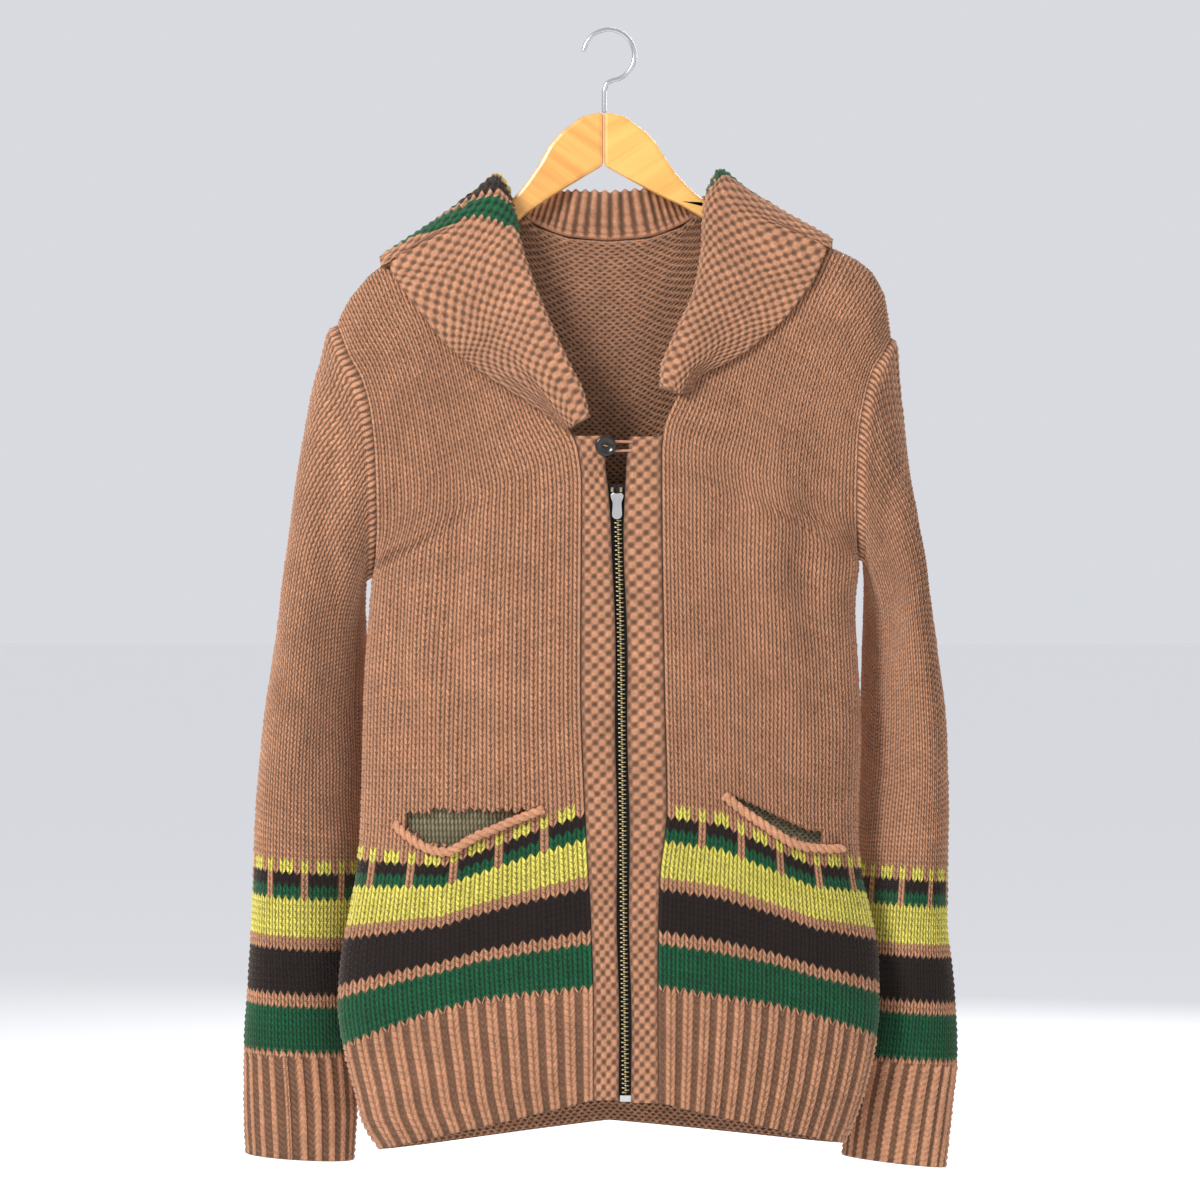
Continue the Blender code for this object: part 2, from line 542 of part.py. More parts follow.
def collar_section(name, start, end, rise, lift):
    """The collar's two faces across one station: from the seam up to the fold, then over it and
    down its fall, which lies on the panel between two places of the fine grid."""
    grid, normals = fine[name]
    seam, normal = grid[start], normals[start]
    reach = np.linspace(0, 1, 6)[1:]
    rows = np.round(start[0] + reach * (end[0] - start[0])).astype(int)
    columns = np.round(start[1] + reach * (end[1] - start[1])).astype(int)
    along_panel = grid[end] - seam
    along_panel -= normal * (along_panel @ normal)
    over = -along_panel / np.linalg.norm(along_panel)
    stand = [(0.0009, -0.0010), (0.0009, 0.0012), (0.0009 + 0.55 * rise, 0.5 * lift),
             (0.62 * rise, lift), (-0.001, 0.95 * lift)]
    cover = [(0.0049, -0.0010), (0.0052, 0.0006), (rise + 0.0025, 0.35 * lift),
             (rise + 0.0015, lift + 0.0030), (0.35 * rise, lift + 0.0046)]
    under = [seam + over * a + normal * b for a, b in stand]
    top = [seam + over * a + normal * b for a, b in cover]
    rest = smooth(reach, [0, 0.3, 1], [lift, 0.55 * lift + 0.0010, 0.0022])
    for k, height in enumerate(rest):
        point, out = grid[rows[k], columns[k]], normals[rows[k], columns[k]]
        under.append(point + out * height)
        top.append(point + out * (height + CLOTH))
    return np.array(under), np.array(top)


under, top = [], []
for side, order in (("left", -1), ("back", 1), ("right", 1)):
    grid = fine[side][0]
    if side == "back":
        table = np.array(COLLAR_BACK)
        stations = np.concatenate([[-0.0765, -0.0740], np.linspace(-0.069, 0.069, 13),
                                   [0.0740, 0.0765]])
    else:
        # the first three lie on the shoulder seam and just in front of it, row by row
        table = np.array(COLLAR_FRONT[side])
        stations = np.concatenate([[0, 0.0029, 0.0065, 0.018],
                                   np.linspace(0.040, table[-1, 0], 10)])[::order]
    for place in stations:
        rise, lift, across, height = (smooth(max(place, table[0, 0]) if side != "back" else place,
                                             table[:, 0], table[:, c]) for c in range(1, 5))
        end = nearest(side, across, height)
        if side == "back":
            start = (0, int(np.argmin(abs(grid[0, :, 0] - place))))
        else:
            row = int(np.argmin(abs(np.linspace(0, 1, 321) ** 1.15 - place)))
            start = (row, 0 if side == "left" else grid.shape[1] - 1)
            if place < 0.01:
                end = (row, int(np.argmin(abs(grid[row, :, 0] - across))))
        section = collar_section(side, start, end, rise, lift)
        under.append(section[0])
        top.append(section[1])
wall("collar", np.array(top), np.array(under), YARN)

# Pocket mouths, with an edging on the lower lip and a bag behind
for side in ("left", "right"):
    lip = np.array(POCKET_LIP[side])
    tube("pocket_edge_" + side, on_panel(side, along(lip, 15), EDGING + 0.0004), EDGING,
         ((0.62, 0.33, 0.20), 0.95))
    mouth = [(x, z + 0.0034) for x, z in lip[1:-1]] + POCKET_TOP[side]
    cutter = bpy.data.meshes.new("Mouth " + side)
    count = len(mouth)
    points = [(x, y, z) for y in (-0.060, -0.012) for x, z in mouth]
    loops = [tuple(range(count)), tuple(range(2 * count - 1, count - 1, -1))]
    loops += [(k, k + count, (k + 1) % count + count, (k + 1) % count) for k in range(count)]
    cutter.from_pydata(points, [], loops)
    shape = bmesh.new()
    shape.from_mesh(cutter)
    bmesh.ops.triangulate(shape, faces=shape.faces)
    bmesh.ops.recalc_face_normals(shape, faces=shape.faces)
    shape.to_mesh(cutter)
    shape.free()
    helper = bpy.data.objects.new("Mouth " + side, cutter)
    helpers.objects.link(helper)
    helper.hide_render = True
    helper.display_type = "WIRE"
    combine(bpy.data.objects["front_" + side], helper, "DIFFERENCE")
    top_z = max(z for _, z in mouth) + 0.006
    xs = np.linspace(*np.clip(lip[[0, -1], 0], -0.156, 0.163), 9)
    zs = np.linspace(top_z, top_z - LINING_DEEP, 8)
    places = [(x, z) for z in zs for x in xs]
    belly = np.outer(1 - np.linspace(-1, 1, 8) ** 4, 1 - np.linspace(-1, 1, 9) ** 4).ravel()
    near = on_panel(side, places, -(CLOTH + 0.0007 + LINING_ROOM * belly)).reshape(8, 9, 3)
    far = on_panel(side, places, -(CLOTH + 0.0025 + LINING_ROOM * belly)).reshape(8, 9, 3)
    wall("pocket_lining_" + side, near, far, ((0.40, 0.33, 0.20), 0.95))

# Zip: tapes behind the bands, the closed chain, slider, pull, stops and the tab at its foot
zip_rows = np.linspace(ZIP_TOP, ZIP_FOOT, 18)
tape_rows = np.linspace(-0.3420, ZIP_FOOT - 0.0040, 20)


def zip_place(heights):
    """Middle of the zip on the plane of the bands' faces, at each height."""
    heights = np.asarray(heights, float)
    return np.stack([down(ZIP_LINE, heights, 1), down(NECK_DEPTH, heights, 1), heights], -1)


for side, way in (("left", -1), ("right", 1)):
    tape = zip_place(tape_rows) + [way * (0.0002 + TAPE_WIDE / 2), CLOTH + 0.0006, 0]
    solid_strip("zip_tape_" + side, tape, TAPE_WIDE / 2, TAPE_THICK, BLACK_TAPE)
    chain = zip_place(zip_rows) + [way * (0.0002 + CHAIN_WIDE / 2), CLOTH - CHAIN_THICK, 0]
    solid_strip("zip_chain_" + side, chain, CHAIN_WIDE / 2, CHAIN_THICK, ((0.03, 0.03, 0.03), 0.4))

slider_top = ZIP_TOP + 0.0003 + SLIDER_TALL
centre = zip_place([(slider_top + ZIP_TOP) / 2])[0]
front = centre[1] + 0.0004
half, waist = SLIDER_WIDE / 2, SLIDER_WAIST / 2
body = [(-waist, -0.5), (-waist, -0.1), (-half, 0.22), (-half, 0.38), (-0.6 * half, 0.5), (0, 0.44),
        (0.6 * half, 0.5), (half, 0.38), (half, 0.22), (waist, -0.1), (waist, -0.5)]
slider = outline("zip_slider", [(x, z * SLIDER_TALL) for x, z in body], 0.0018, STEEL, 0.0003)
slider.location = (centre[0], front + 0.0018, centre[2])
arch = block("Arch", (centre[0] - 0.0011, front - 0.0026, centre[2] - 0.0026),
             (centre[0] + 0.0011, front + 0.0005, centre[2] + 0.0026))
combine(slider, arch, "UNION")
eye = block("Eye", (centre[0] - 0.003, front - 0.0021, centre[2] - 0.0010),
            (centre[0] + 0.003, front - 0.0002, centre[2] + 0.0010))
combine(slider, eye, "DIFFERENCE")

# The pull hangs from its crossbar, which turns in the slider's arch about X
axis = Vector((centre[0], front - 0.00115, centre[2]))
half = PULL_WIDE / 2
around = [math.radians(a) for a in range(180, 361, 20)]
plate = [(-half * 0.87, 0.0010), (-half * 0.87, -0.004)]
plate += [(half * math.cos(a), -(PULL_LONG - 0.001 - half) + half * math.sin(a)) for a in around]
plate += [(half * 0.87, -0.004), (half * 0.87, 0.0010)]
pull = outline("zip_pull", plate, 0.00055, STEEL, 0.0002)
pull.location = axis
window = block("Window", (axis.x - 0.0017, axis.y - 0.002, axis.z - 0.0040),
               (axis.x + 0.0017, axis.y + 0.002, axis.z - 0.0005))
combine(pull, window, "DIFFERENCE")
relief = block("Relief", (axis.x - 0.0017, axis.y - 0.002, axis.z + 0.0005),
               (axis.x + 0.0017, axis.y + 0.002, axis.z + 0.0020))
combine(pull, relief, "DIFFERENCE")

for side, way in (("left", -1), ("right", 1)):
    stop = zip_place([slider_top + 0.0021])[0] + [way * 0.0033, 0.0020, 0]
    block("zip_stop_" + side, stop - [0.0009, 0, 0.0017], stop + [0.0009, 0.0019, 0.0017],
          ((0.05, 0.05, 0.05), 0.4))
foot = zip_place([ZIP_FOOT - 0.0020])[0]
block("zip_end", foot + [-0.0043, 0.0016, -0.0030], foot + [0.0043, 0.0039, 0.0016],
      ((0.02, 0.02, 0.02), 0.6))

# Button on a thread shank at the top of the left band, and the loop from the right band
face = down(NECK_DEPTH, -0.3136, 1)
mesh = bpy.data.meshes.new("button")
disc = bmesh.new()
bmesh.ops.create_cone(
    disc, cap_ends=True, segments=36, radius1=BUTTON_ACROSS / 2, radius2=BUTTON_ACROSS / 2,
    depth=BUTTON_THICK, matrix=Matrix.Translation((-0.0024, face - 0.0046, -0.3136))
    @ Matrix.Rotation(math.pi / 2, 4, "X"))
disc.to_mesh(mesh)
disc.free()
button = keep("button", mesh, ((0.01, 0.01, 0.01), 0.12))
shank = block("Shank", (-0.0036, face - 0.0040, -0.3148), (-0.0012, face - 0.0003, -0.3124))
combine(button, shank, "UNION")
loop = [(0.0175, -0.3104), (0.0100, -0.3102), (0.0, -0.3100), (-0.0040, -0.3104), (-0.0060, -0.3118),
        (-0.0066, -0.3136), (-0.0060, -0.3154), (-0.0040, -0.3168), (0.0, -0.3172), (0.0100, -0.3170),
        (0.0175, -0.3168)]
tube("button_loop", [(x, face - 0.0014, z) for x, z in loop], 0.0010, ((0.62, 0.33, 0.20), 0.95))

# Hanger: two mitred halves that follow the shoulders, and a plain wire hook
CREST = {  # top edge from the middle to where the arm goes under the cloth: across, height
    "left": [(-0.0041, -0.0600), (-0.0204, -0.0636), (-0.0369, -0.0760), (-0.0452, -0.0858),
             (-0.0534, -0.1008), (-0.0626, -0.1140), (-0.0680, -0.1208), (-0.0730, -0.1264),
             (-0.0782, -0.1302), (-0.0830, -0.1324)],
    "right": [(-0.0035, -0.0600), (0.0125, -0.0636), (0.0290, -0.0760), (0.0356, -0.0834),
              (0.0422, -0.0940), (0.0503, -0.1060), (0.0590, -0.1155), (0.0650, -0.1212),
              (0.0700, -0.1250), (0.0745, -0.1280), (0.0785, -0.1300), (0.0830, -0.1316)],
}
BELLY = {  # bottom edge: across, height
    "left": [(-0.0041, -0.1008), (-0.0156, -0.1073), (-0.0320, -0.1171), (-0.0452, -0.1253),
             (-0.0619, -0.1368), (-0.0756, -0.1494)],
    "right": [(-0.0035, -0.1008), (0.0122, -0.1096), (0.0374, -0.1230), (0.0537, -0.1304),
              (0.0768, -0.1440)],
}
for side in ("left", "right"):
    way = -1 if side == "left" else 1
    line = np.array(SHOULDER[side])
    xs = way * np.linspace(0.092, HANGER_END, 7)
    zs = np.interp(way * xs, way * line[:, 0], line[:, 1]) - HANGER_DROP
    slope = math.atan2(zs[-1] - zs[0], abs(xs[-1] - xs[0]))
    tip = [(xs[-1] + way * 0.008, zs[-1] - 0.009), (xs[-1] + way * 0.006, zs[-1] - 0.019),
           (xs[-1] - way * 0.006, zs[-1] - 0.025)]
    points = CREST[side] + list(zip(xs, zs)) + tip + BELLY[side][::-1]
    points = [(x + (-0.0002 if side == "left" and x > -0.005 else 0), z) for x, z in points]
    outline("hanger_" + side, points, HANGER_THICK / 2, WOOD, 0.0028)
ring = [(0.0, -0.0350)] + [((HOOK_RADIUS + HOOK_WIRE) * math.sin(a), -HOOK_RADIUS
        - (HOOK_RADIUS + HOOK_WIRE) * math.cos(a)) for a in np.radians(np.arange(20, 261, 10))]
stem = [(HANGER_CENTRE, -0.0601), (HANGER_CENTRE, -0.0440), (-0.0015, -0.0385), (0.0030, -0.0364)]
tube("hook", [(x, 0, z) for x, z in stem + ring[1:]], HOOK_WIRE, STEEL, 3)
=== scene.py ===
import math

import bpy
import numpy as np
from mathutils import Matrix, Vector


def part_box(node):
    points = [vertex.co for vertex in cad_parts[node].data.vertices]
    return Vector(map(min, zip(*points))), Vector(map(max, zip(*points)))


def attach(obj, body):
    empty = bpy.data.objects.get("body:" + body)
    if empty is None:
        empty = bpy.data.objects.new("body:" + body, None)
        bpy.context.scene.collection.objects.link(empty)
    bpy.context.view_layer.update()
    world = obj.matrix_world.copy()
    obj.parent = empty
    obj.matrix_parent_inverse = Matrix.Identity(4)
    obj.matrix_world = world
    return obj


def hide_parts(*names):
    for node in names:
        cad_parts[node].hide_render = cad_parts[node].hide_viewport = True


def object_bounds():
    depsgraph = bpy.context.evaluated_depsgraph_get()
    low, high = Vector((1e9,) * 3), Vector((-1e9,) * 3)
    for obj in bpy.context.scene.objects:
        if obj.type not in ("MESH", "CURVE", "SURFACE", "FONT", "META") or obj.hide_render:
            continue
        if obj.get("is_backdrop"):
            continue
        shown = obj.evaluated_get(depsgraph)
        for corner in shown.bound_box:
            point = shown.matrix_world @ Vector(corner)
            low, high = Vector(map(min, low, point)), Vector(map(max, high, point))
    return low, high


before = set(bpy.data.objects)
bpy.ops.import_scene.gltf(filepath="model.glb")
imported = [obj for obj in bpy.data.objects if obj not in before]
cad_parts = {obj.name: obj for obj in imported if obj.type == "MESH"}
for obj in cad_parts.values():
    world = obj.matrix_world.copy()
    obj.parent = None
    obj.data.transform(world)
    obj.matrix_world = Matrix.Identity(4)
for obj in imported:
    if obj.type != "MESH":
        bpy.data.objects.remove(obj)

cad_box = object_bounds()


# Studio: a long lens straight in front, a pale floor well below the hem and a pale room, with a
# large soft light high on the left, a weaker one on the right and one behind for the back.
def srgb(red, green, blue):
    """Linear colour of a shade given in 0 to 255 as a screen shows it."""
    shade = np.array([red, green, blue]) / 255
    linear = np.where(shade < 0.04045, shade / 12.92, ((shade + 0.055) / 1.055) ** 2.4)
    return (*(float(part) for part in linear), 1.0)


VIEW_HEIGHT = 0.905  # what the camera takes in at the garment's plane
VIEW_DISTANCE = 3.4
middle = (cad_box[0] + cad_box[1]) / 2
camera = bpy.data.objects.new("Camera", bpy.data.cameras.new("Camera"))
camera.data.sensor_width = 36
camera.data.lens = 36 * VIEW_DISTANCE / VIEW_HEIGHT
camera.location = (middle.x, -VIEW_DISTANCE, middle.z)
camera.rotation_euler = (math.pi / 2, 0, 0)
bpy.context.collection.objects.link(camera)
bpy.context.scene.camera = camera
for name, place, across, power in (("Key light", (-1.6, -2.0, 1.0), 0.8, 60),
                                   ("Fill light", (2.0, -2.4, -0.1), 2.2, 9),
                                   ("Back light", (0.8, 2.8, 0.8), 1.4, 50)):
    lamp = bpy.data.objects.new(name, bpy.data.lights.new(name, "AREA"))
    lamp.data.size = across
    lamp.data.energy = power
    lamp.location = place
    lamp.rotation_euler = (middle - Vector(place)).to_track_quat("-Z", "Y").to_euler()
    bpy.context.collection.objects.link(lamp)
world = bpy.data.worlds.new("Pale room")
world.use_nodes = True
world.node_tree.nodes["Background"].inputs["Color"].default_value = (0.93, 0.95, 1.0, 1)
world.node_tree.nodes["Background"].inputs["Strength"].default_value = 0.74
bpy.context.scene.world = world
bpy.context.scene.view_settings.view_transform = "Standard"

FLOOR = -1.05
mesh = bpy.data.meshes.new("floor")
reach = 60
mesh.from_pydata([(-reach, -reach, FLOOR), (reach, -reach, FLOOR), (reach, reach, FLOOR),
                  (-reach, reach, FLOOR)], [], [(0, 1, 2, 3)])
floor = bpy.data.objects.new("floor", mesh)
bpy.context.collection.objects.link(floor)
paint = bpy.data.materials.new("Pale floor")
paint.use_nodes = True
paint.node_tree.nodes["Principled BSDF"].inputs["Base Color"].default_value = (0.97, 0.97, 0.97, 1)
paint.node_tree.nodes["Principled BSDF"].inputs["Roughness"].default_value = 0.9
mesh.materials.append(paint)
floor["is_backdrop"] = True


# Knitted fronts: stockinette in bulky three-ply wool, tan, with the bands of yellow, dark brown
# and green above a ribbed welt. Each is a loft of rows between the neck and band edge and the
# side seam. The mesh follows the stitches, so that each leg of each stitch is a real lump.
CLOTH = 0.004
UNDERARM = 0.30  # share of the rows, from the shoulder, where the armhole ends
BAND_TOP = 0.27  # share of the rows where the front band starts
PLAIN_ROWS, STRIPE_ROWS, RIB_ROWS = 91, 30, 17
LEG_SLOPE = 2.0  # rows that the legs of a stitch rise from its middle to its sides
TAN, YELLOW, DARK, GREEN = (srgb(196, 140, 106), srgb(232, 218, 98), srgb(30, 17, 16),
                            srgb(4, 90, 55))
YARNS = np.array([TAN, YELLOW, DARK, GREEN])

# Shoulder line from the neck point out to the armhole: across, height
SHOULDER = {
    "left": [(-0.0782, -0.1226), (-0.1068, -0.1389), (-0.1408, -0.1586), (-0.1686, -0.1736),
             (-0.1816, -0.1838), (-0.1945, -0.1994), (-0.2020, -0.2123), (-0.2047, -0.2205)],
    "right": [(0.0782, -0.1226), (0.1040, -0.1341), (0.1312, -0.1464), (0.1550, -0.1566),
              (0.1707, -0.1634), (0.1863, -0.1708), (0.1986, -0.1804), (0.2081, -0.1974),
              (0.2108, -0.2150), (0.2128, -0.2300)],
}

# Inner edge of each front, down the neck and the band seam: height, across
NECK_EDGE = {
    "left": [(-0.1226, -0.0782), (-0.1566, -0.0796), (-0.1906, -0.0741), (-0.2314, -0.0612),
             (-0.2790, -0.0422), (-0.3164, -0.0231), (-0.3402, -0.0204), (-0.4898, -0.0211),
             (-0.5918, -0.0177), (-0.6666, -0.0136), (-0.7346, -0.0116), (-0.8012, -0.0116)],
    "right": [(-0.1226, 0.0782), (-0.1566, 0.0796), (-0.1906, 0.0755), (-0.2314, 0.0646),
              (-0.2722, 0.0524), (-0.2994, 0.0415), (-0.3198, 0.0394), (-0.4898, 0.0415),
              (-0.5850, 0.0435), (-0.6360, 0.0381), (-0.7006, 0.0367), (-0.8032, 0.0374)],
}
NECK_DEPTH = [(-0.1226, 0), (-0.1247, -0.0080), (-0.1300, -0.0112), (-0.1566, -0.0145),
              (-0.1906, -0.0195), (-0.2314, -0.0270), (-0.2790, -0.0355), (-0.3164, -0.0405),
              (-0.3402, -0.0420), (-0.4898, -0.0430), (-0.5918, -0.0430), (-0.6666, -0.0420),
              (-0.7346, -0.0400), (-0.8040, -0.0380)]

# Armhole and side seam, from the shoulder to the hem: height, across, depth
SIDE_EDGE = {
    "left": [(-0.2205, -0.2047, 0), (-0.2224, -0.2042, -0.0080), (-0.2275, -0.2020, -0.0125),
             (-0.2456, -0.1945, -0.0240), (-0.2633, -0.1850, -0.0275), (-0.2892, -0.1782, -0.0300),
             (-0.3266, -0.1748, -0.0300), (-0.3674, -0.1741, -0.0240), (-0.3946, -0.1754, -0.0120),
             (-0.4116, -0.1768, 0), (-0.4354, -0.1790, 0.003), (-0.4898, -0.1830, 0.003),
             (-0.5986, -0.1860, 0.003), (-0.6326, -0.1890, 0.003), (-0.6666, -0.1950, 0.003),
             (-0.7006, -0.2010, 0.003), (-0.7346, -0.2030, 0.003), (-0.7658, -0.1990, 0.003),
             (-0.8019, -0.1900, 0.003), (-0.8216, -0.1845, 0.003), (-0.8427, -0.1715, 0.003)],
    "right": [(-0.2300, 0.2128, 0), (-0.2318, 0.2122, -0.0080), (-0.2368, 0.2094, -0.0125),
              (-0.2463, 0.2040, -0.0215), (-0.2558, 0.1979, -0.0260), (-0.2790, 0.1911, -0.0300),
              (-0.3130, 0.1863, -0.0300), (-0.3538, 0.1856, -0.0260), (-0.3810, 0.1863, -0.0140),
              (-0.3980, 0.1870, 0), (-0.4354, 0.1840, 0.003), (-0.4898, 0.1870, 0.003),
              (-0.5306, 0.1885, 0.003), (-0.5986, 0.1865, 0.003), (-0.6326, 0.1890, 0.003),
              (-0.6666, 0.1965, 0.003), (-0.7006, 0.2020, 0.003), (-0.7346, 0.2025, 0.003),
              (-0.7597, 0.2000, 0.003), (-0.7917, 0.1930, 0.003), (-0.8114, 0.1870, 0.003),
              (-0.8379, 0.1760, 0.003)],
}

# Centre of the back, from the neck seam to the hem: height, depth
CENTRE_BACK = [(-0.1566, 0.0125), (-0.1590, 0.0138), (-0.1660, 0.0160), (-0.2100, 0.0210), (-0.2800, 0.0290),
               (-0.4000, 0.0350), (-0.5500, 0.0350), (-0.7000, 0.0310), (-0.8230, 0.0270)]
# Neck seam, left half, from the middle out: across, depth, height
NECK_SEAM = [(0.0, 0.0125, -0.1566), (-0.030, 0.0125, -0.1545), (-0.055, 0.0125, -0.1460),
             (-0.070, 0.0123, -0.1335), (-0.0755, 0.0110, -0.1258), (-0.0774, 0.0065, -0.1237)]

# How each row of a front leaves its side edge: share of the rows, outward, forward
SIDE_TURN = [(0, -0.060, 0.0), (0.20, -0.055, 0.006), (0.31, 0.012, 0.028), (1.0, 0.013, 0.028)]
BACK_TURN = [(0, -0.060, 0.0), (0.20, -0.055, 0.004), (0.31, -0.016, 0.006), (1.0, -0.018, 0.008)]

# Sleeves: share of the length, outer edge (across, height), inner edge (across, height),
# middle depth, half depth, how far the front is turned outwards
SLEEVE = {
    "left": [(0.00, -0.2047, -0.2205, -0.1768, -0.4116, 0.000, 0.030, 0.000),
             (0.03, -0.2108, -0.2240, -0.1842, -0.4160, 0.000, 0.031, 0.000),
             (0.07, -0.2172, -0.2456, -0.1855, -0.4230, 0.002, 0.033, 0.003),
             (0.13, -0.2262, -0.2760, -0.1860, -0.4330, 0.006, 0.036, 0.008),
             (0.20, -0.2346, -0.3266, -0.1858, -0.4480, 0.012, 0.038, 0.014),
             (0.30, -0.2414, -0.3776, -0.1852, -0.4728, 0.019, 0.041, 0.018),
             (0.42, -0.2496, -0.4422, -0.1850, -0.5170, 0.024, 0.043, 0.021),
             (0.55, -0.2598, -0.5136, -0.1850, -0.5680, 0.026, 0.043, 0.021),
             (0.68, -0.2672, -0.5918, -0.1855, -0.6258, 0.030, 0.041, 0.020),
             (0.80, -0.2706, -0.6666, -0.1890, -0.6870, 0.036, 0.036, 0.018),
             (0.88, -0.2747, -0.7244, -0.1925, -0.7346, 0.041, 0.031, 0.013),
             (0.93, -0.2774, -0.7686, -0.1940, -0.7740, 0.040, 0.027, 0.010),
             (0.97, -0.2774, -0.8114, -0.1925, -0.8162, 0.038, 0.025, 0.008),
             (1.00, -0.2760, -0.8490, -0.1945, -0.8550, 0.036, 0.024, 0.006)],
    "right": [(0.00, 0.2128, -0.2300, 0.1870, -0.3980, 0.000, 0.030, 0.000),
              (0.03, 0.2172, -0.2345, 0.1940, -0.4020, 0.000, 0.031, 0.000),
              (0.07, 0.2194, -0.2600, 0.1955, -0.4090, 0.002, 0.033, 0.003),
              (0.13, 0.2242, -0.2926, 0.1960, -0.4190, 0.006, 0.036, 0.008),
              (0.20, 0.2298, -0.3402, 0.1958, -0.4380, 0.012, 0.038, 0.014),
              (0.30, 0.2373, -0.3878, 0.1950, -0.4694, 0.019, 0.041, 0.017),
              (0.42, 0.2468, -0.4558, 0.1935, -0.5170, 0.024, 0.043, 0.019),
              (0.55, 0.2543, -0.5238, 0.1920, -0.5680, 0.026, 0.043, 0.019),
              (0.68, 0.2564, -0.5986, 0.1890, -0.6292, 0.030, 0.041, 0.018),
              (0.80, 0.2564, -0.6666, 0.1880, -0.6870, 0.037, 0.036, 0.016),
              (0.88, 0.2625, -0.7210, 0.1905, -0.7346, 0.042, 0.031, 0.013),
              (0.93, 0.2652, -0.7720, 0.1880, -0.7767, 0.041, 0.027, 0.010),
              (0.97, 0.2618, -0.8114, 0.1820, -0.8162, 0.039, 0.025, 0.008),
              (1.00, 0.2564, -0.8600, 0.1785, -0.8515, 0.037, 0.024, 0.006)],
}

# Lower lips of the pocket mouths: across, height
POCKET_LIP = {
    "left": [(-0.1591, -0.5958), (-0.1544, -0.6006), (-0.1482, -0.6060), (-0.1421, -0.6101),
             (-0.1360, -0.6135), (-0.1272, -0.6162), (-0.1176, -0.6160), (-0.1068, -0.6094),
             (-0.0966, -0.6033), (-0.0857, -0.5992), (-0.0755, -0.5945), (-0.0653, -0.5904),
             (-0.0544, -0.5863), (-0.0490, -0.5843)],
    "right": [(0.0857, -0.5741), (0.0945, -0.5812), (0.1037, -0.5884), (0.1149, -0.5958),
              (0.1265, -0.6040), (0.1350, -0.6094), (0.1455, -0.6128), (0.1612, -0.6145),
              (0.1740, -0.6145)],
}
# Upper lips, back from the end of the lower lip: across, height
POCKET_TOP = {
    "left": [(-0.0700, -0.5850), (-0.1000, -0.5850), (-0.1300, -0.5850), (-0.1500, -0.5870)],
    "right": [(0.1600, -0.6020), (0.1400, -0.5960), (0.1200, -0.5850), (0.1000, -0.5765)],
}


def smooth(where, knots, values):
    """Values read from a short table by a cubic that keeps the table's own rises and falls."""
    knots, values = np.asarray(knots, float), np.asarray(values, float)
    step = np.diff(knots)
    rise = np.diff(values) / step
    slope = np.zeros(len(knots))
    slope[0], slope[-1] = rise[0], rise[-1]
    for k in range(1, len(knots) - 1):
        if rise[k - 1] * rise[k] > 0:
            slope[k] = 2 * rise[k - 1] * rise[k] / (rise[k - 1] + rise[k])
    k = np.clip(np.searchsorted(knots, where, side="right") - 1, 0, len(step) - 1)
    f = np.clip((where - knots[k]) / step[k], 0, 1)
    start, end = values[k], values[k + 1]
    return ((1 + 2 * f) * (1 - f) ** 2 * start + f * (1 - f) ** 2 * step[k] * slope[k]
            + f * f * (3 - 2 * f) * end + f * f * (f - 1) * step[k] * slope[k + 1])


def down(table, height, column):
    """A column of a table whose first column is a falling height."""
    table = np.array(table, float)
    return smooth(-np.asarray(height, float), -table[:, 0], table[:, column])


def along(points, shares):
    """Points of a polyline at the given shares of its length, or a number of them spaced evenly."""
    points = np.asarray(points, float)
    reach = np.concatenate([[0], np.cumsum(np.linalg.norm(np.diff(points, axis=0), axis=1))])
    if np.ndim(shares) == 0:
        shares = np.linspace(0, 1, shares)
    where = np.asarray(shares) * reach[-1]
    return np.stack([np.interp(where, reach, points[:, k]) for k in range(points.shape[1])], 1)


def inner_edge(side, rows):
    table = np.array(NECK_EDGE[side], float)
    height = table[0, 0] + (table[-1, 0] - table[0, 0]) * rows
    return np.stack([down(table, height, 1), down(NECK_DEPTH, height, 1), height], 1)


def side_edge(side, rows):
    table = np.array(SIDE_EDGE[side], float)
    arm = {"left": -0.4116, "right": -0.3980}[side]
    height = smooth(rows, [0, UNDERARM, 1], [table[0, 0], arm, table[-1, 0]])
    return np.stack([down(table, height, 1), down(table, height, 2), height], 1)


def turned_row(inner, outer, turn, forward, samples):
    """One row of stitches: a cubic curve that leaves the inner edge straight outwards and turns
    round to the side edge, with its points spaced evenly."""
    across = outer[0] - inner[0]
    first = inner + np.array([0.42 * across, 0, 0.42 * (outer[2] - inner[2])])
    second = outer + np.array([math.copysign(turn[0], across * turn[0]), forward * turn[1], 0])
    s = np.linspace(0, 1, 4 * samples)[:, None]
    return along((1 - s) ** 3 * inner + 3 * s * (1 - s) ** 2 * first
                 + 3 * s * s * (1 - s) * second + s ** 3 * outer, samples)


def turned_rows(inner, outer, top, turns, forward, rows, columns, samples=80):
    """The rows of a panel from its inner edge to its side edge. Near the shoulder they are pulled
    to the shoulder line, top."""
    turns = np.array(turns)
    top = along(top, samples)
    grid = []
    for k, row in enumerate(rows):
        turn = [smooth(row, turns[:, 0], turns[:, c]) for c in (1, 2)]
        curve = turned_row(inner[k], outer[k], turn, forward, samples)
        if k == 0:
            pull = top - curve
            curve = top
        else:
            curve += max(0.0, 1 - row / UNDERARM) ** 2 * pull * [1, 0, 1]
        grid.append(along(curve, columns))
    return np.array(grid)


def front_panel(side, columns, rows):
    """Outer surface of a front: rows of stitches from the inner edge to the side edge."""
    shoulder = np.array([(x, 0, z) for x, z in SHOULDER[side]], float)
    return turned_rows(inner_edge(side, rows), side_edge(side, rows), shoulder, SIDE_TURN, -1,
                       rows, columns)


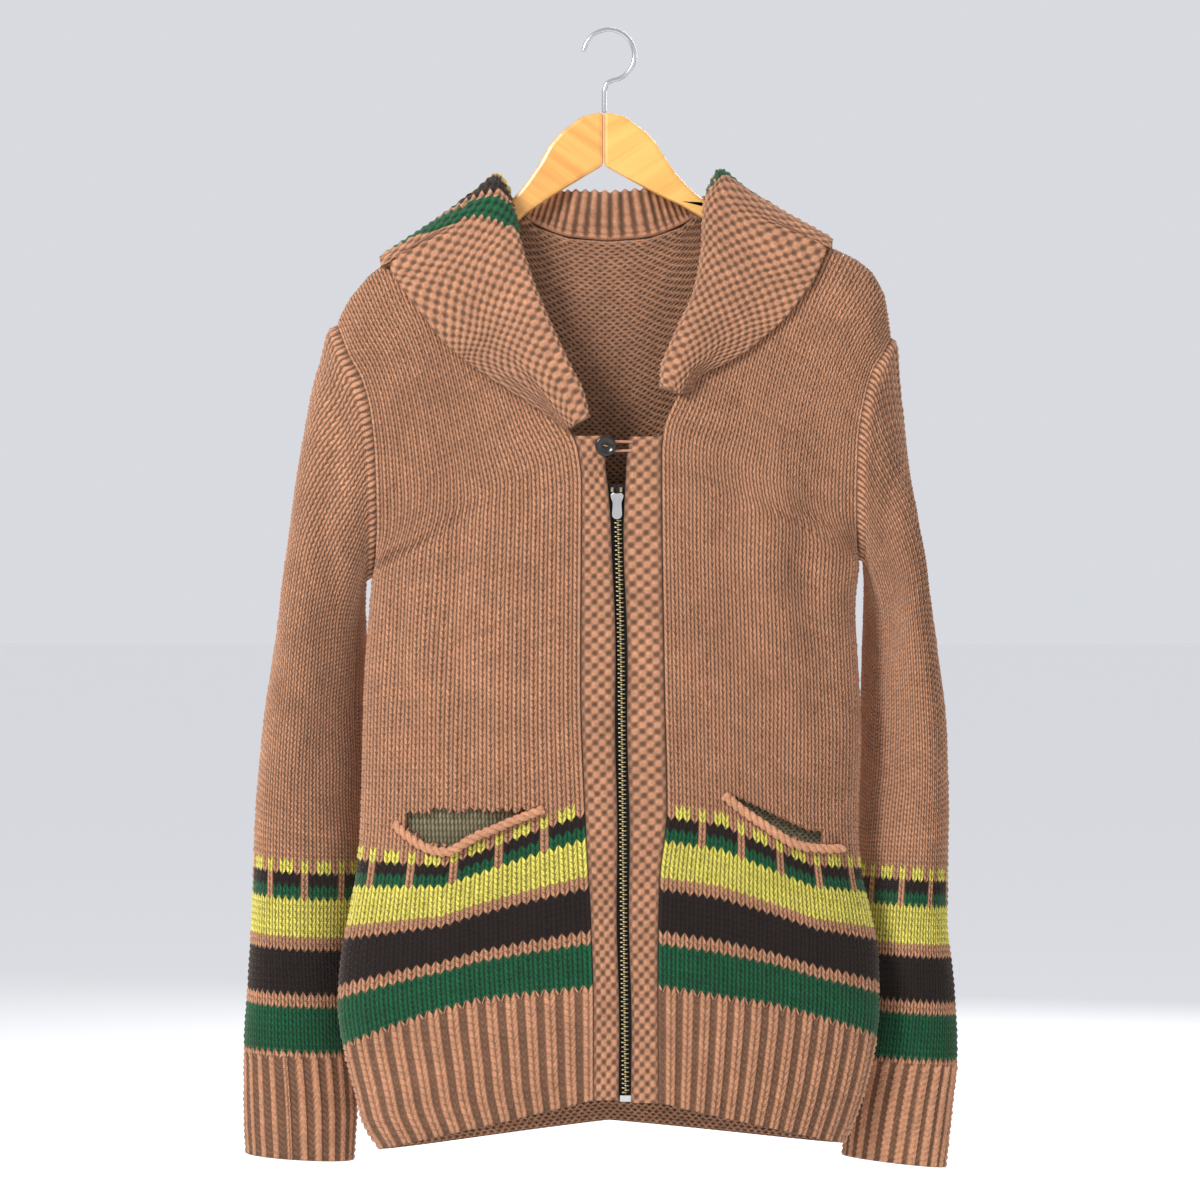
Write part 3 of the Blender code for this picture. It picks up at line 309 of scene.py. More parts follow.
def back_panel(neck_shares, shoulder_columns, rows):
    """Outer surface of the back: its rows from the left side edge, round the back, to the right.
    The neck point of each shoulder is one of its points."""
    centre = np.array(CENTRE_BACK)
    height = centre[0, 0] + (centre[-1, 0] - centre[0, 0]) * rows
    inner = np.stack([0 * height, down(centre, height, 1), height], 1)
    halves = []
    for side, mirror in (("left", 1), ("right", -1)):
        outer = side_edge(side, rows)
        outer[rows < UNDERARM, 1] *= -1
        neck = np.array(NECK_SEAM, float) * [mirror, 1, 1]
        shoulder = np.array([(x, 0, z) for x, z in SHOULDER[side]], float)
        top = np.concatenate([neck, shoulder])
        reach = np.cumsum(np.linalg.norm(np.diff(top, axis=0), axis=1))
        corner = reach[len(neck) - 1] / reach[-1]
        shares = np.concatenate([corner * neck_shares,
                                 np.linspace(corner, 1, shoulder_columns)[1:]])
        halves.append(turned_rows(inner, outer, top, BACK_TURN, 1, rows, shares, samples=400))
    return np.concatenate([halves[0][:, ::-1], halves[1][:, 1:]], axis=1)


def sleeve_tube(side, loop, share):
    """Outer surface of a sleeve: rings that start as the armhole and turn into flattened ovals."""
    table = np.array(SLEEVE[side], float)
    outer_x, outer_z, inner_x, inner_z, middle, deep, shear = (
        smooth(share, table[:, 0], table[:, c])[:, None] for c in range(1, 8))
    closed = np.concatenate([loop, loop[:1]])
    reach = np.concatenate([[0], np.cumsum(np.linalg.norm(np.diff(closed, axis=0), axis=1))])
    angle = (2 * np.pi * reach[:-1] / reach[-1])[None]
    outward = math.copysign(1, outer_x[0, 0])
    half_x, half_z = (outer_x - inner_x) / 2, (outer_z - inner_z) / 2
    lean = np.sqrt(np.clip(half_x ** 2 - shear ** 2, 0, None) / np.maximum(half_x ** 2, 1e-9))
    ovals = np.stack([
        (outer_x + inner_x) / 2 + half_x * lean * np.cos(angle) + outward * shear * np.sin(angle),
        middle - deep * np.sin(angle),
        (outer_z + inner_z) / 2 + half_z * np.cos(angle)], 2)
    settle = np.clip(1 - share / 0.22, 0, 1)
    settle = (settle * settle * (3 - 2 * settle))[:, None, None]
    return ovals + settle * (loop - ovals[0])[None]


def face_normals(grid, closed=False):
    """Unit normals at the grid's points, from the differences of its neighbours."""
    down_grid = np.gradient(grid, axis=0)
    if closed:
        across = np.roll(grid, -1, axis=1) - np.roll(grid, 1, axis=1)
    else:
        across = np.gradient(grid, axis=1)
    normal = np.cross(across, down_grid)
    return normal / np.maximum(np.linalg.norm(normal, axis=2, keepdims=True), 1e-12)


def interlock(row, block):
    """Yarn of a stitch in the bands, by a given chart: row from the top of the bands, and block, the
    stitch's place in a repeat of five, of which 0 is the upright tan bar."""
    dots = np.where((block == 1) | (block == 4), 0, 1)
    yarn = np.where((row >= 0) & (row < 2), dots, 0)
    yarn = np.where((row >= 2) & (row < 4) & (block > 0), 2, yarn)
    yarn = np.where((row >= 4) & (row < 6) & (block > 0), 3, yarn)
    for first, last, colour in ((6, 12, 1), (14, 21, 2), (23, 30, 3)):
        yarn = np.where((row >= first) & (row < last), colour, yarn)
    return yarn


def legs(column, row, slope):
    """Where the rows run: each stitch is a V, so a row's line is lowest in the middle of a
    stitch and rises to its sides by a straight slope."""
    return row + slope * (0.25 - abs(column % 1 - 0.5))


def lean(column, row, rib):
    """How far, in stitches, a leg's ridge leans: out at the top of a stitch and in at its foot.
    In rib the stitches that stand forward also spread over those between."""
    inward = np.sign(0.5 - column % 1) * (abs(column % 1 - 0.25) < 0.1) + \
        np.sign(0.5 - column % 1) * (abs(column % 1 - 0.75) < 0.1)
    return 0.20 * inward * (row % 1 - 0.4) * (1 - 0.5 * rib) - 0.15 * np.cos(np.pi * column) * rib


def stockinette(column, row):
    """Height of the face of knitting, 0 to 1: across, two round legs to a stitch, and along each
    leg a bulge for every row."""
    across = 4 * abs(column % 1 - 0.5) - 1
    bulge = 2 * (row % 1) - 1
    return np.sqrt(1 - across ** 2) * (0.45 + 0.55 * np.sqrt(np.clip(1 - bulge ** 2, 0, 1)))


def ribbed(column, row):
    """Height of 1 by 1 rib: odd stitches stand forward as chains of V's, and the ones between
    sink back behind them and show short bars."""
    forward = np.cos(np.pi * (column - 0.5)) > 0
    swell = 0.5 + 0.5 * np.cos(2 * np.pi * (column - 0.5) / 2)
    chain = stockinette(column, row)
    bars = 0.22 * (0.5 + 0.5 * np.cos(2 * np.pi * row))
    return np.where(forward, 0.10 + 0.90 * (0.12 * swell + 0.88 * chain), bars * (1 - swell))


def place_rows(base, rows, marks):
    """Carries the stitches' rows over a dense panel: in every column the row numbers in marks
    stand at given heights, and the points between are read from the panel at their height."""
    made = np.empty((rows.shape[0], base.shape[1], 3))
    for k in range(base.shape[1]):
        height = np.interp(rows[:, k], marks[0], [mark[k] for mark in marks[1]])
        for axis in range(3):
            made[:, k, axis] = np.interp(-height, -base[:, k, 2], base[:, k, axis])
    return made


def creased(grid, normals, folds):
    """Moves a panel in and out by soft folds. Each fold runs between two places seen from the
    front or back; its section is a bell of the given half width and depth, and its ends fade."""
    depth = np.zeros(grid.shape[:2])
    for x0, z0, x1, z1, half, deep in folds:
        run = np.array([x1 - x0, z1 - z0])
        length = np.linalg.norm(run)
        along_fold = ((grid[..., 0] - x0) * run[0] + (grid[..., 2] - z0) * run[1]) / length
        aside = ((grid[..., 0] - x0) * run[1] - (grid[..., 2] - z0) * run[0]) / length
        fade = np.clip(1 - ((along_fold / length - 0.5) / 0.62) ** 2, 0, 1)
        depth += deep * fade * np.exp(-((aside + 0.006 * np.sin(9 * along_fold / length)) / half) ** 2)
    return grid + normals * depth[..., None]


def sheet_mesh(name, faces, corners, points, relief, yarn, reverse):
    """Puts faces, given as arrays of point numbers with their stitch coordinates, into a mesh
    with a UV map of stitches, the relief and the yarn's colour."""
    mesh = bpy.data.meshes.new(name)
    mesh.vertices.add(len(points))
    mesh.vertices.foreach_set("co", points.ravel())
    sizes = np.concatenate([np.full(len(f), f.shape[1]) for f in faces])
    index = np.concatenate([f.ravel() for f in faces])
    mesh.loops.add(len(index))
    mesh.loops.foreach_set("vertex_index", index)
    mesh.polygons.add(len(sizes))
    mesh.polygons.foreach_set("loop_start", np.concatenate([[0], np.cumsum(sizes)[:-1]]))
    mesh.update(calc_edges=True)
    mesh.uv_layers.new(name="Stitches")
    mesh.uv_layers["Stitches"].data.foreach_set(
        "uv", np.concatenate([c.reshape(-1, 2) for c in corners]).ravel())
    # The wool shader darkens the colour by this relief, as painted shade between the stitches.
    mesh.attributes.new("Relief", "FLOAT", "POINT").data.foreach_set("value", relief.ravel())
    colour = np.repeat(np.concatenate(yarn), sizes, axis=0)
    mesh.attributes.new("Yarn", "FLOAT_COLOR", "CORNER").data.foreach_set("color", colour.ravel())
    mesh.polygons.foreach_set("material_index", np.concatenate(reverse))
    mesh.polygons.foreach_set("use_smooth", np.ones(len(sizes), bool))
    mesh.update()
    made = bpy.data.objects.new(name, mesh)
    bpy.context.collection.objects.link(made)
    return made


def knitted(name, outer, inner, relief, stitch, yarn, keep=None, closed=False):
    """A closed wall of knitting: a fine outer grid, an inner grid of every second point, and
    rims of five-sided faces where the wall ends or where keep leaves cells out. stitch is the
    size of a fine cell in stitches (across, down), and yarn the colour of each fine cell."""
    rows, columns = outer.shape[0] - 1, outer.shape[1] - (0 if closed else 1)
    r, c = np.meshgrid(np.arange(rows), np.arange(columns), indexing="ij")
    keep = np.ones((rows // 2, columns // 2), bool) if keep is None else keep
    kept = keep.repeat(2, 0).repeat(2, 1)
    across, under_across = outer.shape[1], inner.shape[1]
    start = outer.shape[0] * across

    def fine(a, b):
        return a * across + b % across

    def coarse(a, b):
        return start + (a // 2) * under_across + (b // 2) % under_across

    faces, corners, colours, reverse = [], [], [], []

    def add(places, mask, colour, behind):
        faces.append(np.stack([to(a, b)[mask] for to, a, b in places], 1))
        corners.append(np.stack([np.stack([b[mask] * stitch[0], -a[mask] * stitch[1]], 1)
                                 for _, a, b in places], 1))
        colours.append(colour[mask])
        reverse.append(np.full(mask.sum(), behind))

    add([(fine, r, c), (fine, r, c + 1), (fine, r + 1, c + 1), (fine, r + 1, c)], kept, yarn, 0)
    a, b = r[::2, ::2], c[::2, ::2]
    shade = yarn[::2, ::2]
    add([(coarse, a, b), (coarse, a + 2, b), (coarse, a + 2, b + 2), (coarse, a, b + 2)],
        keep, shade, 1)
    framed = np.pad(keep, 1)
    if closed:
        framed[:, 0], framed[:, -1] = framed[:, -2], framed[:, 1]
    top = keep & ~framed[:-2, 1:-1]
    foot = keep & ~framed[2:, 1:-1]
    near = keep & ~framed[1:-1, :-2]
    far = keep & ~framed[1:-1, 2:]
    add([(fine, a, b + 2), (fine, a, b + 1), (fine, a, b), (coarse, a, b), (coarse, a, b + 2)],
        top, shade, 0)
    add([(fine, a + 2, b), (fine, a + 2, b + 1), (fine, a + 2, b + 2), (coarse, a + 2, b + 2),
         (coarse, a + 2, b)], foot, shade, 0)
    add([(fine, a, b), (fine, a + 1, b), (fine, a + 2, b), (coarse, a + 2, b), (coarse, a, b)],
        near, shade, 0)
    add([(fine, a + 2, b + 2), (fine, a + 1, b + 2), (fine, a, b + 2), (coarse, a, b + 2),
         (coarse, a + 2, b + 2)], far, shade, 0)
    points = np.concatenate([outer.reshape(-1, 3), inner.reshape(-1, 3)])
    # The inner points' relief of 0.6 leaves the rims nearly without painted shade.
    relief = np.concatenate([relief.ravel(), np.full(inner.shape[0] * inner.shape[1], 0.6)])
    used = np.zeros(len(points), bool)
    for f in faces:
        used[f.ravel()] = True
    number = np.cumsum(used) - 1
    return sheet_mesh(name, [number[f] for f in faces], corners, points[used], relief[used],
                      colours, reverse)


def wool_group():
    """Shader group for a plied wool yarn. In: the yarn's colour, the relief of the knitting and its stitch
    coordinates. Out: a colour, heathered, with painted shade that darkens it down between the stitches and a
    little in the grooves between the plies, and a height, of plies wound round each leg with fine fibres
    over them."""
    group = bpy.data.node_groups.new("Plied wool", "ShaderNodeTree")
    for label, kind in (("Yarn", "NodeSocketColor"), ("Relief", "NodeSocketFloat"),
                        ("Stitches", "NodeSocketVector"), ("Plies", "NodeSocketFloat")):
        group.interface.new_socket(label, in_out="INPUT", socket_type=kind)
    group.interface.new_socket("Colour", in_out="OUTPUT", socket_type="NodeSocketColor")
    group.interface.new_socket("Height", in_out="OUTPUT", socket_type="NodeSocketFloat")
    node, link = group.nodes.new, group.links.new
    given, result = node("NodeGroupInput"), node("NodeGroupOutput")
    place = node("ShaderNodeTexCoord")

    def noise(scale, detail):
        made = node("ShaderNodeTexNoise")
        made.inputs["Scale"].default_value = scale
        made.inputs["Detail"].default_value = detail
        link(place.outputs["Object"], made.inputs["Vector"])
        return made.outputs["Fac"]

    def sum_up(operation, first, second, clamp=False):
        made = node("ShaderNodeMath")
        made.operation = operation
        made.use_clamp = clamp
        for socket, value in zip(made.inputs, (first, second)):
            if isinstance(value, (int, float)):
                socket.default_value = value
            else:
                link(value, socket)
        return made.outputs[0]

    def spread(value, low, high, to_low, to_high):
        made = node("ShaderNodeMapRange")
        made.interpolation_type = "SMOOTHSTEP"
        for socket, number in zip(("From Min", "From Max", "To Min", "To Max"),
                                  (low, high, to_low, to_high)):
            made.inputs[socket].default_value = number
        link(value, made.inputs["Value"])
        return made.outputs["Result"]

    split = node("ShaderNodeSeparateXYZ")
    link(given.outputs["Stitches"], split.inputs[0])
    side = sum_up("ABSOLUTE", sum_up("SUBTRACT", sum_up("FRACT", split.outputs["X"], 0), 0.5), 0)
    wound = sum_up("ADD", sum_up("MULTIPLY", split.outputs["Y"], given.outputs["Plies"]),
                   sum_up("MULTIPLY", side, 5.0))
    ply = sum_up("SINE", sum_up("MULTIPLY", wound, 2 * math.pi), 0)
    heather = spread(noise(420, 3), 0.3, 0.7, 0.86, 1.12)
    patchy = spread(noise(34, 2), 0.3, 0.7, 0.93, 1.06)
    # Painted shade: where the relief is low, down between the stitches, the colour falls to about a quarter.
    painted_gap_shade = spread(given.outputs["Relief"], 0.0, 0.7, 0.26, 1.08)
    shade = sum_up("MULTIPLY", sum_up("MULTIPLY", heather, patchy), painted_gap_shade)
    # Painted shade in the grooves between the plies: the colour dips a little with the ply wave.
    shade = sum_up("MULTIPLY", shade, sum_up("ADD", sum_up("MULTIPLY", ply, 0.05), 0.97))
    scaled = node("ShaderNodeVectorMath")
    scaled.operation = "SCALE"
    link(given.outputs["Yarn"], scaled.inputs[0])
    link(shade, scaled.inputs["Scale"])
    link(scaled.outputs[0], result.inputs["Colour"])
    height = sum_up("ADD", sum_up("MULTIPLY", ply, 0.5), sum_up("MULTIPLY", noise(1500, 4), 1.4))
    link(height, result.inputs["Height"])
    return group


wool = wool_group()


def purl_group():
    """Shader group for the back of stockinette: every row shows two lines of loops, one bent up
    and one bent down, half a stitch apart. Out: their height and how far a place lies between."""
    group = bpy.data.node_groups.new("Purl loops", "ShaderNodeTree")
    group.interface.new_socket("Stitches", in_out="INPUT", socket_type="NodeSocketVector")
    group.interface.new_socket("Height", in_out="OUTPUT", socket_type="NodeSocketFloat")
    node, link = group.nodes.new, group.links.new
    given, result = node("NodeGroupInput"), node("NodeGroupOutput")
    split = node("ShaderNodeSeparateXYZ")
    link(given.outputs["Stitches"], split.inputs[0])

    def sum_up(operation, first, second):
        made = node("ShaderNodeMath")
        made.operation = operation
        for socket, value in zip(made.inputs, (first, second)):
            if isinstance(value, (int, float)):
                socket.default_value = value
            else:
                link(value, socket)
        return made.outputs[0]

    swing = sum_up("COSINE", sum_up("MULTIPLY", split.outputs["X"], 2 * math.pi), 0)
    lines = []
    for way, start in ((0.16, 0.25), (-0.16, 0.75)):
        line = sum_up("ADD", sum_up("SUBTRACT", split.outputs["Y"], start),
                      sum_up("MULTIPLY", swing, way))
        wave = sum_up("COSINE", sum_up("MULTIPLY", line, 2 * math.pi), 0)
        lines.append(sum_up("POWER", sum_up("ADD", sum_up("MULTIPLY", wave, 0.5), 0.5), 1.6))
    link(sum_up("MAXIMUM", *lines), result.inputs["Height"])
    return group


purl = purl_group()


def wool_material(name, plies=3.0, backside=False):
    """Wool with its nap: the yarn's colour and relief come from the piece's own attributes, and the relief
    darkens the colour as painted shade between the stitches.
    """
    made = bpy.data.materials.new(name)
    made.use_nodes = True
    tree = made.node_tree
    shader = tree.nodes["Principled BSDF"]
    shader.inputs["Roughness"].default_value = 0.88
    shader.inputs["Specular IOR Level"].default_value = 0.25
    shader.inputs["Sheen Weight"].default_value = 0.22
    shader.inputs["Sheen Roughness"].default_value = 0.55
    shader.inputs["Sheen Tint"].default_value = (0.95, 0.80, 0.68, 1)
    yarn = tree.nodes.new("ShaderNodeVertexColor")
    yarn.layer_name = "Yarn"
    stitches = tree.nodes.new("ShaderNodeUVMap")
    stitches.uv_map = "Stitches"
    look = tree.nodes.new("ShaderNodeGroup")
    look.node_tree = wool
    look.inputs["Plies"].default_value = plies
    tree.links.new(yarn.outputs["Color"], look.inputs["Yarn"])
    tree.links.new(stitches.outputs["UV"], look.inputs["Stitches"])
    fine = tree.nodes.new("ShaderNodeBump")
    fine.inputs["Distance"].default_value = 0.00035
    fine.inputs["Strength"].default_value = 0.8
    tree.links.new(look.outputs["Height"], fine.inputs["Height"])
    if backside:
        loops = tree.nodes.new("ShaderNodeGroup")
        loops.node_tree = purl
        tree.links.new(stitches.outputs["UV"], loops.inputs["Stitches"])
        # The purl loops' height also darkens the colour between the loops as painted shade.
        tree.links.new(loops.outputs["Height"], look.inputs["Relief"])
        deep = tree.nodes.new("ShaderNodeBump")
        deep.inputs["Distance"].default_value = 0.003
        tree.links.new(loops.outputs["Height"], deep.inputs["Height"])
        tree.links.new(deep.outputs["Normal"], fine.inputs["Normal"])
    else:
        # The Relief attribute darkens the colour between the stitches as painted shade.
        relief = tree.nodes.new("ShaderNodeAttribute")
        relief.attribute_name = "Relief"
        tree.links.new(relief.outputs["Fac"], look.inputs["Relief"])
    tree.links.new(look.outputs["Colour"], shader.inputs["Base Color"])
    tree.links.new(fine.outputs["Normal"], shader.inputs["Normal"])
    return made


face_wool = wool_material("Wool, face of the knitting")
back_wool = wool_material("Wool, back of the knitting", backside=True)


STITCH_JITTER = np.random.default_rng(7)


def shades(rows, columns, chart):
    """The colour of each stitch: its yarn, a little lighter or darker by chance."""
    tone = STITCH_JITTER.normal(1, 0.045, (rows, columns, 1))
    tone = tone * STITCH_JITTER.normal(1, 0.025, (rows, 1, 1))
    colour = YARNS[chart] * [1, 1, 1, 1]
    colour[..., :3] = colour[..., :3] * np.clip(tone, 0.8, 1.2)
    return colour


def panel_knitting(name, base, columns, per_row, marks, block, folds, fastened, amplitude=0.0016):
    """A whole panel: stitches laid over a dense grid of its form, creased, raised by the relief
    of stockinette and of the rib, with the bands in their rows. Returns the outer and inner grid,
    relief, cell size and cell colours."""
    rows = PLAIN_ROWS + STRIPE_ROWS + RIB_ROWS
    u = np.arange(columns * 4 + 1)[None] / 4
    phase = np.arange(rows * per_row + 1)[:, None] / per_row
    calm = np.clip(np.minimum(phase, rows - phase) / 1.5, 0, 1)
    in_rib = np.clip(phase - (rows - RIB_ROWS), 0, 1)
    row = legs(u, phase, LEG_SLOPE * calm * (1 - 0.2 * in_rib))
    grid = place_rows(base, row, marks)
    normals = face_normals(place_rows(base, phase + 0 * u, marks))
    seam = abs(grid[0, :, 1]) < 1e-4
    normals[0, seam, 1] = 0
    normals /= np.linalg.norm(normals, axis=2, keepdims=True)
    grid = creased(grid, normals * fastened[..., None], folds)
    height = np.where(in_rib > 0.5, ribbed(u, phase), stockinette(u, phase) + 0 * phase)
    lump = STITCH_JITTER.normal(0, 0.10, (rows + 1, columns + 1)).repeat(per_row, 0).repeat(4, 1)
    lump = lump[:grid.shape[0], :grid.shape[1]]
    lift = amplitude * (height * (1 + lump) - 0.45) * np.where(in_rib > 0.5, 1.7, 1)
    edge = np.minimum(np.minimum(u, columns - u) * 2, 1)
    across = np.gradient(grid, axis=1) * 4
    outer = grid + normals * (lift * edge + (1 - edge) * -0.0002)[..., None]
    outer += across * (lean(u, phase, in_rib) * edge)[..., None]
    smoothed = place_rows(base, phase + 0 * u, marks)
    smoothed = creased(smoothed, normals * fastened[..., None], folds)
    inner = (smoothed - normals * CLOTH)[::2, ::2]
    stitch_row = np.minimum(np.arange(rows * per_row) // per_row, rows - 1)
    stitch_column = np.arange(columns * 4) // 4
    chart = interlock(stitch_row[:, None] - PLAIN_ROWS, block(stitch_column)[None])
    colour = shades(rows, columns, np.zeros((rows, columns), int))
    tone = colour[stitch_row][:, stitch_column] / YARNS[0]
    return outer, inner, height, (0.25, 1 / per_row), YARNS[chart] * tone


SIDES = {"left": 1, "right": -1}
FRONT_STITCHES = 28
# Heights along each front from the band to the side seam: where the bands start and where the
# rib starts (share of the width, height)
BANDS_TOP = {"left": [(0, -0.5788), (0.2, -0.5924), (0.4, -0.6074), (0.56, -0.6190),
                      (0.75, -0.6169), (1, -0.6130)],
             "right": [(0, -0.5810), (0.25, -0.5870), (0.45, -0.6026), (0.66, -0.6183),
                       (1, -0.6215)]}
RIB_TOP = {"left": [(0, -0.7162), (0.24, -0.7210), (0.42, -0.7257), (0.60, -0.7359),
                    (0.77, -0.7482), (1, -0.7665)],
           "right": [(0, -0.7155), (0.3, -0.7244), (0.47, -0.7291), (0.61, -0.7359),
                     (0.75, -0.7434), (1, -0.7584)]}
FRONT_FOLDS = {  # from (across, height) to (across, height), half width, depth
    "left": [(-0.118, -0.31, -0.110, -0.575, 0.013, -0.0060),
             (-0.142, -0.24, -0.140, -0.54, 0.014, 0.0040),
             (-0.160, -0.38, -0.150, -0.56, 0.010, -0.0030),
             (-0.060, -0.34, -0.080, -0.56, 0.022, 0.0028),
             (-0.150, -0.655, -0.060, -0.640, 0.014, 0.0028),
             (-0.165, -0.700, -0.070, -0.680, 0.010, -0.0014),
             (-0.150, -0.760, -0.040, -0.735, 0.014, 0.0014)],
    "right": [(0.128, -0.25, 0.122, -0.50, 0.017, 0.0050),
              (0.156, -0.27, 0.150, -0.52, 0.014, -0.0052),
              (0.075, -0.35, 0.090, -0.54, 0.022, -0.0026),
              (0.165, -0.42, 0.135, -0.58, 0.014, 0.0022),
              (0.070, -0.650, 0.160, -0.668, 0.014, 0.0016),
              (0.080, -0.692, 0.165, -0.705, 0.010, -0.0014),
              (0.060, -0.735, 0.160, -0.752, 0.014, 0.0014)]}
front_rows = np.linspace(0, 1, 321) ** 1.15
fronts = {}
for side, way in SIDES.items():
    base = front_panel(side, FRONT_STITCHES * 4 + 1, front_rows)
    share = np.linspace(0, 1, base.shape[1])
    marks = ([0, PLAIN_ROWS, PLAIN_ROWS + STRIPE_ROWS, PLAIN_ROWS + STRIPE_ROWS + RIB_ROWS],
             [base[0, :, 2], np.interp(share, *zip(*BANDS_TOP[side])),
              np.interp(share, *zip(*RIB_TOP[side])), base[-1, :, 2]])
    if side == "right":
        base = base[:, ::-1]
        marks = (marks[0], [mark[::-1] for mark in marks[1]])
    rows = (PLAIN_ROWS + STRIPE_ROWS + RIB_ROWS) * 3
    columns = FRONT_STITCHES * 4
    fastened = np.ones((rows + 1, columns + 1))
    fastened *= np.clip(np.arange(columns + 1) / 12, 0, 1)[None]
    fastened *= np.clip(np.arange(columns, -1, -1) / 12, 0, 1)[None]
    fastened *= np.clip(np.arange(rows + 1) / 30, 0, 1)[:, None]
    from_band = (lambda k: k + 1) if side == "left" else (lambda k: FRONT_STITCHES - k)
    outer, inner, height, cell, colour = panel_knitting(
        "front_" + side, base, FRONT_STITCHES, 3, marks, lambda k: from_band(k) % 5,
        FRONT_FOLDS[side], fastened)
    lip = np.array(POCKET_LIP[side])
    mouth = np.array([(x, z + 0.0034) for x, z in lip[1:-1]] + POCKET_TOP[side])
    middles = outer[1::2, 1::2]
    crossings = np.zeros(middles.shape[:2], int)
    for (x0, z0), (x1, z1) in zip(mouth, np.roll(mouth, -1, axis=0)):
        spans = (middles[..., 2] > min(z0, z1)) & (middles[..., 2] <= max(z0, z1))
        if z0 != z1:
            crossings += spans & (middles[..., 0] < x0 + (middles[..., 2] - z0) * (x1 - x0) / (z1 - z0))
    keep = ~((crossings % 2 == 1) & (middles[..., 1] < -0.012))
    front = knitted("knitted_front_" + side, outer, inner, height, cell, colour, keep)
    front.data.materials.append(face_wool)
    front.data.materials.append(back_wool)
    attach(front, "cardigan")
    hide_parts("front_" + side)
    fronts[side] = front


# Back: the same knitting in one piece, from side seam to side seam, with the bands carried on.
# Its top edge is sewn to the collar across the neck and to the fronts along the shoulders.
BACK_STITCHES = 66
BACK_FOLDS = [(-0.10, -0.22, -0.11, -0.45, 0.018, -0.0024), (0.115, -0.24, 0.10, -0.50, 0.018, 0.0022),
              (0.02, -0.28, 0.03, -0.56, 0.024, -0.0018), (-0.05, -0.40, -0.07, -0.66, 0.020, 0.0020),
              (-0.14, -0.66, -0.02, -0.645, 0.014, 0.0014), (0.03, -0.70, 0.15, -0.69, 0.012, -0.0014)]
stitch_shares = np.linspace(0, 1, BACK_STITCHES * 4 + 1)
dense_back = back_panel(np.linspace(0, 1, 41), 81, front_rows)
base = np.array([along(line, stitch_shares) for line in dense_back])
turn = abs(np.linspace(-1, 1, base.shape[1]))
bands_top = np.interp(turn, [0, 1], [-0.612, -0.617])
rib_top = np.interp(turn, [0, 0.7, 1], [-0.740, -0.744, -0.7625])
marks = ([0, PLAIN_ROWS, PLAIN_ROWS + STRIPE_ROWS, PLAIN_ROWS + STRIPE_ROWS + RIB_ROWS],
         [base[0, :, 2], bands_top, rib_top, base[-1, :, 2]])
rows = (PLAIN_ROWS + STRIPE_ROWS + RIB_ROWS) * 2
fastened = np.clip((1 - turn) * 12, 0, 1)[None] * np.clip(np.arange(rows + 1) / 20, 0, 1)[:, None]
outer, inner, height, cell, colour = panel_knitting(
    "back", base, BACK_STITCHES, 2, marks, lambda k: k % 5, BACK_FOLDS, fastened)
back = knitted("knitted_back", outer, inner, height, cell, colour)
back.data.materials.append(face_wool)
back.data.materials.append(back_wool)
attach(back, "cardigan")
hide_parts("back")


# Sleeves: tubes of the same knitting, picked up round the armholes, with the bands above ribbed
# cuffs. The row lines are level from the front, and the tubes hang flattened beside the body.
SLEEVE_STITCHES, SLEEVE_PLAIN = 45, 72
SLEEVE_MARKS = {"left": ((-0.619, -0.626), (-0.767, -0.772)),
                "right": ((-0.631, -0.628), (-0.7775, -0.774))}  # outer and inner edge
SLEEVE_FOLDS = {
    "left": [(-0.205, -0.26, -0.212, -0.45, 0.010, -0.0060), (-0.228, -0.32, -0.234, -0.52, 0.011, 0.0035),
             (-0.215, -0.50, -0.205, -0.60, 0.014, -0.0020), (-0.245, -0.52, -0.215, -0.57, 0.012, 0.0016)],
    "right": [(0.212, -0.28, 0.206, -0.47, 0.011, -0.0055), (0.232, -0.34, 0.228, -0.54, 0.011, 0.0034),
              (0.205, -0.50, 0.225, -0.60, 0.013, -0.0018)]}
